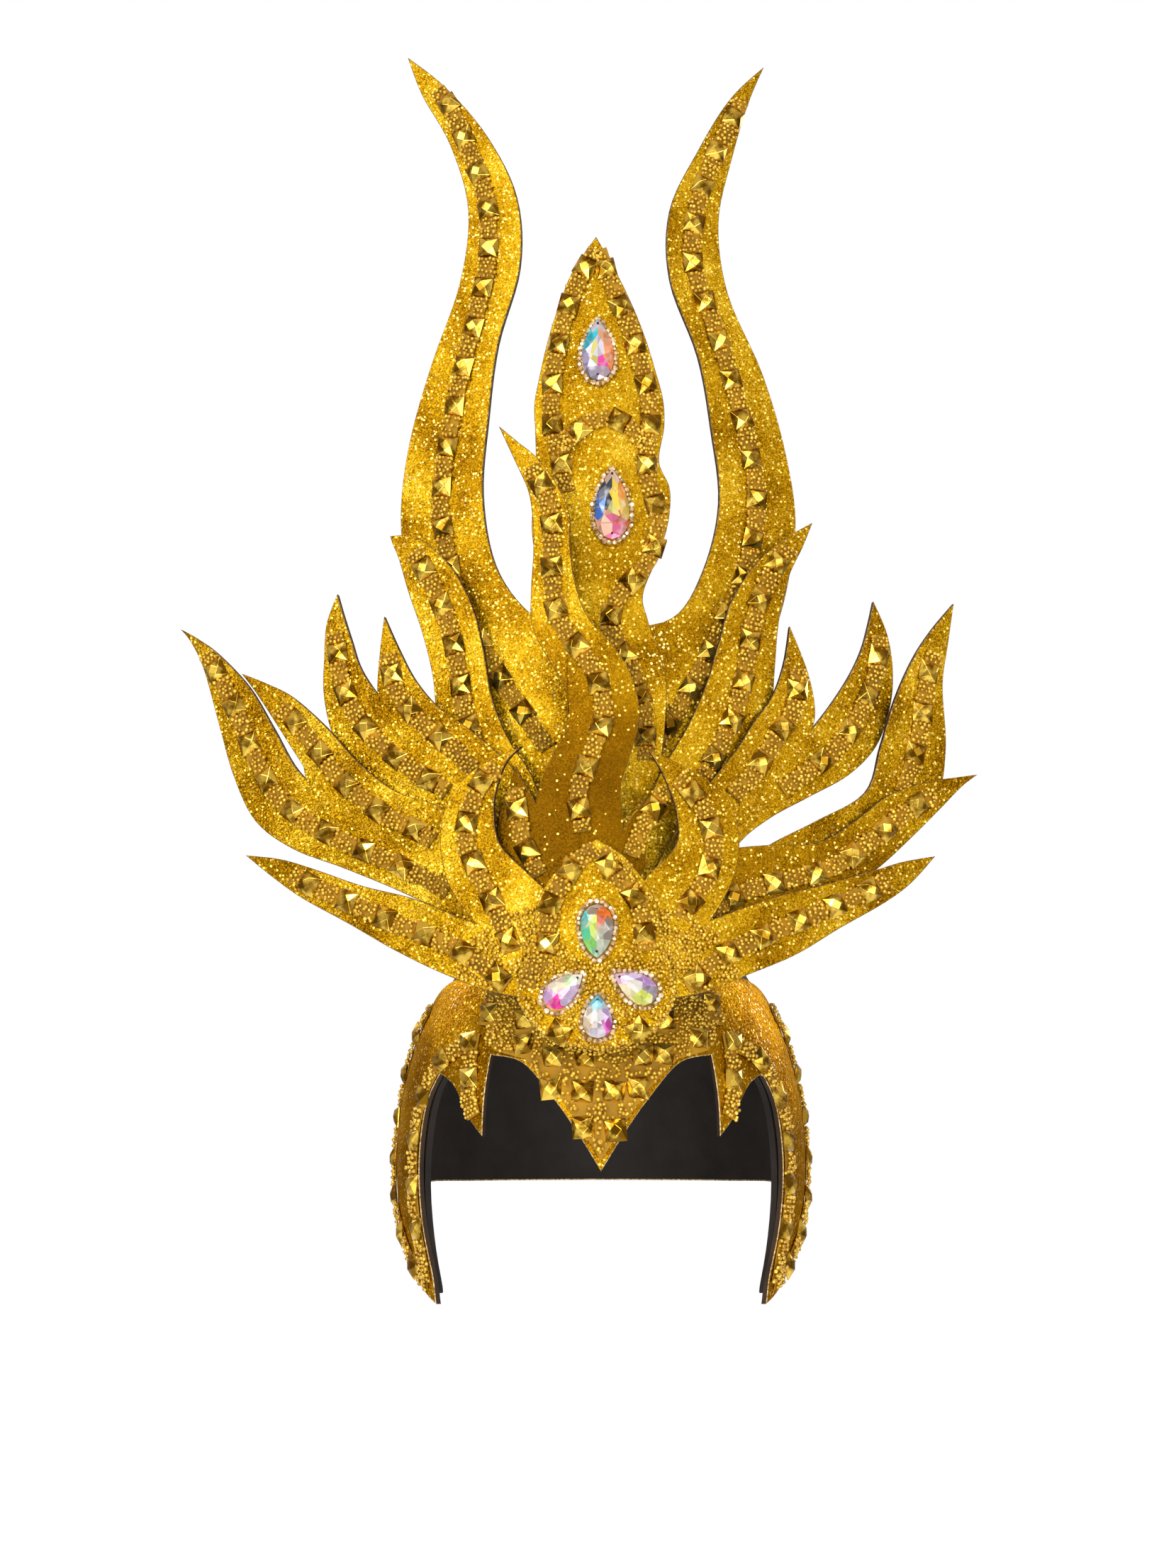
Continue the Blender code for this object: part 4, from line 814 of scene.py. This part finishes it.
def beadAt(place, point, heading, height):
    wobble = [seeded.uniform(-bead["wobble"], bead["wobble"]) for _ in range(3)]
    matrix = frameOn(place, point + Vector(wobble[:2]), heading, height + wobble[2])
    size = seeded.uniform(bead["least"], bead["most"])
    return matrix @ Matrix.Translation((0, 0, bead["radius"])) @ Matrix.Diagonal((size,) * 3 + (1,))


# the matrices of a strip's studs and of the rows of beads between them, and its outline
def stripParts(path, place, within, lead=stud["lead"], pitch=stud["pitch"]):
    studs, beads, left, right = [], [], [], []

    def glue(spot, heading, height):
        if not within or any(insideBy(spot, outline, bead["radius"] * bead["margin"])
                             for outline in within):
            beads.append(beadAt(place, spot, heading, height))

    total, half = pathLength(path), stud["side"] / 2
    middles = [lead + i * pitch for i in range(max(1, int((total - lead - half) / pitch) + 1))]
    for middle in middles:
        seat = frameOn(place, *pointAt(path, middle), seatGap)
        studs.append(jostled(seat, stud["spin"], stud["tilt"]))
    starts = [0.0] + [middle + half for middle in middles]
    ends = [middle - half for middle in middles] + [total]
    for start, end in zip(starts, ends):
        rows = int((end - start) / bead["along"] + 0.15)
        for row in range(rows):
            point, heading = pointAt(path, start + (row + 0.5) * (end - start) / rows)
            side = toRight(heading)
            stagger = (row % 2 - 0.5) * bead["across"] / 2
            for k in range(bead["rows"]):
                aside = (k - (bead["rows"] - 1) / 2) * bead["across"] + stagger
                if seeded.random() > bead["missed"]:
                    glue(point + side * aside, heading, seatGap + strip["thickness"])
            if seeded.random() < bead["strayed"]:
                aside = strip["width"] / 2 - seeded.uniform(0.0, bead["strayedIn"])
                glue(point + side * (aside * seeded.choice((-1, 1))), heading, seatGap)
    steps = max(2, round(total / strip["step"]))
    for i in range(steps + 1):
        point, heading = pointAt(path, min(total * i / steps, total - 1e-6))
        side = toRight(heading) * strip["backing"] / 2
        left.append(point - side)
        right.append(point + side)
    return studs, beads, right + left[::-1]


# studs, beads and the thin golden backing under them
def bandBatches(studs, beads, outline, place, cuts=()):
    bm = joinedFace([outline], cuts)
    bmesh.ops.triangulate(bm, faces=[face for face in bm.faces if len(face.verts) > 4])
    for vertex in extruded(bm, bm.faces[:])[1]:
        vertex.co.y = strip["thickness"]
    for vertex in bm.verts:
        vertex.co = place(vertex.co.x, vertex.co.z, seatGap + vertex.co.y)
    return [(studTemplate, studs), (beadTemplate, beads), (templateOf(bm), [Matrix()])]


bandMaterials = [studMetal, beadGold, beadCloth]


def studBand(name, node, paths, place, within=()):
    batches = []
    for path, *spacing in paths:
        batches += bandBatches(*stripParts(path, place, within, *spacing), place)
    joinCopies(name, batches, bandMaterials, "stud_metal", node)


def looseBeads(name, beads):
    joinCopies(name, [(beadTemplate, beads)], [beadGold], "bead_gold")


# a staggered field of points inside an outline, clear of what the tests keep out
def beadField(outline, pitch, *keepOut):
    low, high = [Vector((end(p.x for p in outline), end(p.y for p in outline)))
                 for end in (min, max)]
    points, rowShare, astray = [], bead["fieldRow"], bead["fieldAstray"]
    for row in range(int((high.y - low.y) / (pitch * rowShare)) + 1):
        for column in range(int((high.x - low.x) / pitch) + 2):
            point = low + Vector((
                (column + 0.5 * (row % 2) + seeded.uniform(-astray, astray)) * pitch,
                (row * rowShare + seeded.uniform(-astray, astray)) * pitch))
            if insideBy(point, outline, bead["radius"] * bead["margin"]) and not any(
                    test(point) for test in keepOut):
                points.append(point)
    return points


def nearPaths(paths, reach):
    return lambda point: any(distanceTo(point, path) < reach for path in paths)


# the sheets: layer, blades, limits in x, and how high and low the band on each blade goes
splitGap = seatGap / 2
centreReach = 0.0200
leftHalf, rightHalf = (-1.0, -splitGap), (splitGap, 1.0)
sheets = {
    "front_flame_left": (1, (wingLeft, innerHornLeft), leftHalf),
    "front_flame_right": (1, (wingRight, innerHornRight), rightHalf),
    "centre_flame": (2, (centreTall, centreLobeLeft, centreLobeRight), (-1.0, centreReach),
                     (0.91, 0.18), (0.90, 0.40), (0.93, 0.45)),
    "low_flame_right": (2, (outerRightLow,), (centreReach + seatGap, 1.0), (0.88, 0.14)),
    "outer_flame_left": (3, (outerLeftLow, outerLeftHigh), leftHalf, (0.92, 0.18), (0.88, 0.32)),
    "outer_flame_right": (3, (outerRightHigh,), rightHalf, (0.90, 0.58)),
    "middle_flame_left": (4, (middleLeftOuter, middleLeftInner), leftHalf, (0.92, 0.42), (0.90, 0.48)),
    "middle_flame_right": (4, (middleRightInner, middleRightOuter), rightHalf,
                           (0.90, 0.48), (0.94, 0.46)),
    "upper_flame_left": (5, (upperLeft,), leftHalf, (0.94, 0.45)),
    "upper_flame_right": (5, (upperRight,), rightHalf, (0.93, 0.36)),
    "spear_plate": (6, (spear,), (-1.0, 1.0)),
    "horn_left": (7, (hornLeft,), leftHalf),
    "horn_right": (7, (hornRight,), rightHalf)}
# these two sheets get painted shade: their skin is darker and has fewer glints towards the bottom
shadedFoams = {"centre_flame": centreShadedFoam, "low_flame_right": lowShadedFoam}


def makeFlames():
    for name, (layer, blades, limits, *reaches) in sheets.items():
        place, outlines = layerPlace(layer), [bladeOutline(blade) for blade in blades]
        foamSheet(name + "Sheet", name, outlines, place, limits=limits,
                  skin=shadedFoams.get(name, glitterFoam))
        for number, (blade, reach) in enumerate(zip(blades, reaches), 1):
            studBand(f"{name}Band{number}", f"{name}_studs_{number}",
                     [(bladeSpine(blade, *reach),)], place, outlines)


def medallionPoint(down, half, side):
    return Vector((medallion["middle"] + side * half * medallion["width"],
                   medallion["top"] - down * medallion["height"]))


def medallionOutline(rows, steps):
    rows = smoothThrough(rows, steps)
    return [medallionPoint(*row, 1) for row in rows] + [
        medallionPoint(*row, -1) for row in rows[-2:0:-1]]


# the beads that fill the front layer round the medallion, and hide its edge: each level is a height
# and how far out it lies, and the roll goes down behind the edge
frontFill = {"middle": (-0.002, -0.045), "reach": (0.064, 0.034), "turns": 24, "pitch": 0.0021,
             "edgeBelow": -0.014, "edgeOut": 0.0008, "rollBelow": -0.058,
             "levels": ((0.0002, 1.6), (0.0017, 0.8)),
             "roll": ((-0.0016, 1.2), (-0.0034, 0.4), (-0.0052, -0.8))}


def makeFrontBands():
    look, place, paths = frontFill, layerPlace(1), []
    for node, (blade, pitch, rows) in frontBands.items():
        paths.append(bandPath(blade, rows, blade["length"]))
        studBand(node + "Band", node, [(paths[-1], stud["lead"], pitch)], place)
    outlines = [bladeOutline(blade) for word in ("left", "right")
                for blade in sheets[f"front_flame_{word}"][1]]
    shield = medallionOutline(medallionRows, 6)
    turns = [2 * math.pi * i / look["turns"] for i in range(look["turns"])]
    fill = [Vector((look["middle"][0] + look["reach"][0] * math.cos(turn),
                    look["middle"][1] + look["reach"][1] * math.sin(turn))) for turn in turns]
    points = beadField(fill, look["pitch"], nearPaths(paths, strip["width"] / 2 + bead["radius"]),
                       lambda point: insideBy(point, shield))
    beads = [beadAt(place, point, upward, 0.0) for point in points
             if any(insideBy(point, outline, bead["radius"]) for outline in outlines)]
    edge = [point for point in shield + shield[:1] if point.y < look["edgeBelow"]]
    for i in range(int(pathLength(edge) / bead["along"])):
        point, heading = pointAt(edge, i * bead["along"])
        out = toRight(heading) * look["edgeOut"]
        for level, share in look["levels"] + (look["roll"] if point.y < look["rollBelow"] else ()):
            beads.append(beadAt(place, point + out * share, heading, level))
    looseBeads("frontBeads", beads)


def makeBackBands():
    for name, (node, layer, blade, unit, *bands) in backBands.items():
        studBand(name, node, [(bandPath(blade, rows, blade[unit]), *lead) for rows, *lead in bands],
                 layerPlace(layer), [bladeOutline(blade)])


# a cut drop in a ring of small stones, on a metal plate; heights are from its seat, and the more the
# point, the sharper its tip
dropLook = {"plate": 0.0009, "girdle": 0.0018, "shoulder": 0.0031, "crown": 0.0042, "table": 0.52,
            "middle": -0.08, "point": 0.75, "dimmest": 0.50, "brightest": 0.98, "ringEnds": 1.3,
            "small": 0.0012, "smallFoot": 0.0005, "smallTop": 0.0015, "least": 0.85, "most": 1.15,
            "tilt": 22, "astray": 0.0003, "hole": 0.0006, "holeFoot": 0.001, "holeTop": 0.0036,
            "holeIn": 0.0024}


# a drop's outline with its tip up, grown by so many widths of its ring
def dropOutline(drop, sides, rings=0):
    length = drop["length"] + rings * drop["ring"] * dropLook["ringEnds"]
    width = drop["width"] + rings * drop["ring"]
    point = drop.get("point", dropLook["point"])
    square = (1 + point) / (2 + point)
    widest = 2 * square ** ((1 + point) / 2) * math.sqrt(1 - square)
    return [Vector((width / 2 * math.sin(a) * abs(math.sin(a / 2)) ** point / widest,
                    length / 2 * math.cos(a))) for a in (2 * math.pi * i / sides for i in range(sides))]


def makeStoneTemplate():
    radius, top = dropLook["small"], dropLook["smallTop"]
    return templateOf(hullOfRings((8, radius * 0.92, 0.0, 0), (8, radius, dropLook["smallFoot"], 0),
                                  (4, radius * 0.55, top, 22), (4, radius * 0.50, top, 67)))


smallStone = makeStoneTemplate()
holeTemplate = templateOf(hullOfRings((10, dropLook["hole"], dropLook["holeFoot"], 0),
                                      (10, dropLook["hole"], dropLook["holeTop"], 0)))
# cuts through a drop, so that it shows the facets of its back: angle, and place along it
facetCuts = ((25, 0.10), (-25, 0.10), (65, -0.30), (-65, -0.30), (90, 0.35), (0, 0.0), (90, -0.55))


def makeRing(name, drop, seat):
    look = dropLook
    plate = bmesh.new()
    face = plate.faces.new([plate.verts.new((p.x, p.y, 0.0)) for p in dropOutline(drop, 40, 1.5)])
    for vertex in extruded(plate, [face])[1]:
        vertex.co.z = look["plate"]
    middle = dropOutline(drop, 40, 1)
    middle += middle[:1]
    total = pathLength(middle)
    count = round(total / (2.0 * look["small"]))
    small = []
    for i in range(count):
        point, _ = pointAt(middle, total * (i + 0.5) / count)
        x, y = (part + seeded.uniform(-look["astray"], look["astray"]) for part in point)
        size = seeded.uniform(look["least"], look["most"])
        small.append(seat @ jostled(Matrix.Translation((x, y, look["plate"])), 180, look["tilt"])
                     @ Matrix.Diagonal((size,) * 3 + (1,)))
    holes = [seat @ Matrix.Translation((0, end * (drop["length"] / 2 - look["holeIn"]), 0))
             for end in (-1, 1)]
    joinCopies(name, [(templateOf(plate), [seat]), (smallStone, small), (holeTemplate, holes)],
               [stoneCup, clearStone, cutFoam], "clear_rhinestone")


def makeDrop(name, node, place):
    drop, look = drops[node], dropLook
    seat = frameOn(place, Vector((drop["x"], drop["z"])), upward, seatGap)
    seat = seat @ Matrix.Rotation(math.radians(-drop["turn"]), 4, "Z")
    makeRing(name + "Ring", drop, seat)
    bm = bmesh.new()
    middle = look["middle"] * drop["length"]
    for sides, share, height in ((16, 1.0, 0.0), (16, 1.0, look["girdle"]),
                                 (8, 0.80, look["shoulder"]), (6, look["table"], look["crown"])):
        for point in dropOutline(drop, sides):
            bm.verts.new((point.x * share, middle + (point.y - middle) * share, height))
    makeHull(bm, 4)
    for angle, along in facetCuts:
        cutPlane(bm, (0.0, along * drop["length"] / 2, 0.0),
                 Matrix.Rotation(math.radians(angle), 3, "Z") @ Vector((1.0, 0.0, 0.0)))
    tint = bm.loops.layers.float_color.new("facetTint")
    for face in bm.faces:
        spot = face.calc_center_median()
        share = Vector((spot.x / drop["width"] * 2, spot.y / drop["length"] * 2))
        nearest = min(drop["zones"], key=lambda zone: (Vector(zone[:2]) - share).length)
        level = seeded.uniform(look["dimmest"], look["brightest"])
        colour = [min(1.0, part * level) for part in linearColour(nearest[2])[:3]] + [1.0]
        for loop in face.loops:
            loop[tint] = colour
    bm.transform(seat @ Matrix.Translation((0, 0, look["plate"] * 0.5)))
    pieceFrom(bm, name, [crystalStone], "crystal_stone", node, crease=3)


def raisedPlace(x, z, height):
    return layerPlace(1)(x, z, seatGap + sheetFoam["thickness"] + height)


def makeMedallion():
    outline = medallionOutline(medallionRows, 6)
    foamSheet("medallionSheet", "medallion", [outline], layerPlace(1),
              low=seatGap + sheetFoam["thickness"])
    paths = {}
    for word, (side, lead, rows) in medallionBands.items():
        rows = rows if "Low" in word else smoothThrough(rows, 3)
        paths[word] = ([medallionPoint(*row, side) for row in rows], lead, medallion["pitch"])
    for name, node, words in (("medallionBand", "medallion_studs", ("Left", "Right")),
                              ("medallionLowBandLeft", "medallion_low_studs_left", ("LowLeft",)),
                              ("medallionLowBandRight", "medallion_low_studs_right", ("LowRight",))):
        studBand(name, node, [paths[word] for word in words], raisedPlace)
    names = [node for node in drops if node.startswith("crystal")]
    for node in names:
        makeDrop(node.replace("crystal_", "medallionDrop_"), node, raisedPlace)

    def nearDrop(point):
        for drop in map(drops.get, names):
            turn = math.radians(drop["turn"])
            offset = point - Vector((drop["x"], drop["z"]))
            turned = Vector((offset.x * math.cos(turn) - offset.y * math.sin(turn),
                             offset.x * math.sin(turn) + offset.y * math.cos(turn)))
            ring = dropOutline(drop, 24, 2)
            if insideBy(turned, ring) or distanceTo(turned, ring + ring[:1]) < bead["offDrop"]:
                return True

    leaf = medallionOutline(medallionLeaf, 3)
    points = beadField(outline, bead["field"], nearDrop, lambda point: insideBy(point, leaf),
                       nearPaths([path for path, _, _ in paths.values()], strip["width"] / 2))
    looseBeads("medallionBeads", [beadAt(raisedPlace, point, upward, 0.0) for point in points])


def wrapPoint(around, height):
    return Vector((around * helmet["wrap"], height * helmet["flapDrop"]))


# where the wrap and what lies on it are cut across: so many to each side, and so many down
def wrapCuts(across, down):
    pitch = helmet["wrapCuts"]
    return ((0, [i * pitch for i in range(-across, across + 1)]),
            (2, [i * -pitch for i in range(6, down)]))


def makeWrap():
    half = []
    for run in wrapEdge:
        half += [wrapPoint(*row) for row in smoothThrough(run, 6)][:-1]
    half.append(wrapPoint(*wrapEdge[-1][-1]))
    foamSheet("wrapSheet", "gold_shell", [mirrored(half)], wrapPlace, wrapCuts(26, 33),
              skin=wrapFoam, edge=skinRim)


def makeWrapBands():
    for side, word in ((-1, "left"), (1, "right")):
        paths = [([Vector((p.x * side, p.y)) for p in (
            wrapPoint(*row) for row in smoothThrough(rows, 3))], lead) for lead, rows in flapBands]
        studBand(f"flapBand_{word}", f"flap_studs_{word}", paths, wrapPlace)
    outline = mirrored([wrapPoint(*row) for row in fieldEdge])
    middles, clusters = [[wrapPoint(*row) for row in rows] for rows in (fieldStuds, fieldClusters)]
    studs = [jostled(frameOn(wrapPlace, middle, upward, seatGap), stud["spin"], stud["tilt"])
             for middle in middles]
    beads = []
    for point in beadField(outline, bead["field"], lambda point: any(
            max(map(abs, point - middle)) < stud["side"] / 2 + stud["clear"] for middle in middles)):
        near = min((point - cluster).length for cluster in clusters)
        dome = max(0.0, 1.0 - (near / clusterLook["radius"]) ** 2) * clusterLook["rise"]
        if abs(near - clusterLook["radius"]) >= clusterLook["groove"]:
            beads.append(beadAt(wrapPlace, point, upward, seatGap + strip["thickness"] + dome))
    joinCopies("browField", bandBatches(studs, beads, outline, wrapPlace, wrapCuts(12, 24)),
               bandMaterials, "stud_metal", "brow_studs")


# the lining: a round cap over the head whose rim follows the table, foam all through
def makeLining():
    rows = smoothThrough(liningRim, 4)
    last = len(rows) - 1
    bm = bmesh.new()
    bmesh.ops.create_uvsphere(bm, u_segments=2 * last, v_segments=64, radius=1.0)
    bmesh.ops.delete(bm, geom=[v for v in bm.verts if v.co.z < -1e-4], context="VERTS")
    depth = bm.verts.layers.float.new("depth")
    inner, corners = extruded(bm, bm.faces[:])
    for vertex in corners:
        vertex[depth] = helmet["lining"]
    for face in inset(bm, inner, helmet["binding"]):
        face.material_index = 1
    for vertex in bm.verts:
        co = vertex.co.normalized()
        share = math.acos(max(0.0, min(1.0, co.z))) / (math.pi / 2)
        angle = math.atan2(abs(co.x), -co.y) / math.pi * last
        turn, rim = rows[min(last, round(angle))]
        size = [helmet[key] + helmet["lining"] - vertex[depth]
                for key in ("halfWidth", "halfDepth", "height")]
        polar = share * math.acos((rim * helmet["flapDrop"] + helmet["height"]) / size[2])
        side = math.copysign(1.0, co.x) if abs(co.x) > 1e-6 else 0.0
        vertex.co = (size[0] * math.sin(polar) * math.sin(math.radians(turn)) * side,
                     -size[1] * math.sin(polar) * math.cos(math.radians(turn)),
                     size[2] * math.cos(polar) - helmet["height"])
    pieceFrom(bm, "liningFoam", [blackFoam, skinRim], "black_foam", "lining_cap", crease=60)


makeFrontBands()
makeFlames()
makeBackBands()
print("made the flames and their bands")
makeMedallion()
for word in ("high", "low"):
    makeDrop(f"spearDrop_{word}", f"spear_crystal_{word}", layerPlace(6))
makeWrap()
makeWrapBands()
makeLining()
print("made the medallion, the drops, the wrap and the lining")

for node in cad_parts:
    if "spacer" in node or "block" in node:
        for holder in bpy.data.objects[node].material_slots:
            holder.material = blackFoam


# the studio: a pale floor far below, as under someone who stands, a large key light from the
# upper left, and small lights that sparkle; each light's place, size, power and the height of its aim
studio = {"floor": -1.55, "floorSize": 4.5, "roomLow": 0.12, "roomHigh": 0.58, "backdrop": 1.0,
          "roomColour": "#FFE9CC", "lights": {
              "keyLight": ((-1.35, -1.55, 1.25), (1.2, 0.9), 15, 0.05),
              "fillLight": ((1.6, -1.7, 0.5), (0.6, 1.2), 7, 0),
              "topLight": ((0.1, -0.9, 1.7), (0.9, 0.5), 5, 0.1),
              "frontLight": ((-1.0, -2.3, 0.0), (1.2, 1.2), 7.5, 0.1),
              "lowFront": ((0.2, -1.9, -0.65), (1.1, 0.6), 13.5, -0.08),
              "leftSpark": ((-0.75, -1.6, 0.15), (0.2, 0.2), 2.8, 0.1),
              "rightSpark": ((0.65, -1.7, 0.75), (0.2, 0.2), 2.8, 0),
              "highSpark": ((-0.25, -1.5, 1.0), (0.2, 0.2), 2.8, 0),
              "lowSpark": ((0.35, -1.9, -0.25), (0.2, 0.2), 2.2, 0),
              "backLeft": ((-1.3, 1.5, 1.1), (0.8, 0.8), 9, 0),
              "backRight": ((1.4, 1.4, 0.7), (0.8, 0.8), 8, 0)}}


def makeStudio():
    floor = bmesh.new()
    bmesh.ops.create_grid(floor, x_segments=1, y_segments=1, size=studio["floorSize"],
                          matrix=Matrix.Translation((0, 0, studio["floor"])))
    mesh = bpy.data.meshes.new("studioFloor")
    floor.to_mesh(mesh)
    floor.free()
    mesh.materials.append(makeMottled("paleStudioFloor", {
        "Roughness": 0.9, "Emission Color": (1, 1, 1, 1), "Emission Strength": 0.3}, 0.125, 2.0,
        ((0.3, "#E4E9EF"), (0.7, "#EAEFF5"))))
    addObject("studioFloor", mesh)
    for name, (place, size, power, aim) in studio["lights"].items():
        data = bpy.data.lights.new(name, "AREA")
        data.shape = "RECTANGLE"
        data.size, data.size_y = size
        data.energy = power
        light = addObject(name, data)
        light.location = place
        turned = (Vector((0, 0, aim)) - Vector(place)).to_track_quat("-Z", "Y")
        light.rotation_euler = turned.to_euler()
    world = bpy.data.worlds.new("paleStudio")
    world.use_nodes = True
    add = partial(addNode, world.node_tree)
    seen = add("LightPath", {})
    height = add("SeparateXYZ", {"Vector": add("TexCoord", {})}).outputs["Z"]
    around = add("MapRange", {"Value": height, "From Min": -0.5, "From Max": 0.7,
                              "To Min": studio["roomLow"], "To Max": studio["roomHigh"]})
    level = add("MapRange", {"Value": seen, "To Min": around, "To Max": studio["backdrop"]})
    colour = add("Mix", {0: seen, 6: linearColour(studio["roomColour"]), 7: (1, 1, 1, 1)},
                 data_type="RGBA")
    feed(world.node_tree.nodes["Background"], {"Strength": level, "Color": colour.outputs[2]})
    bpy.context.scene.world = world


makeStudio()
print("lit the studio")
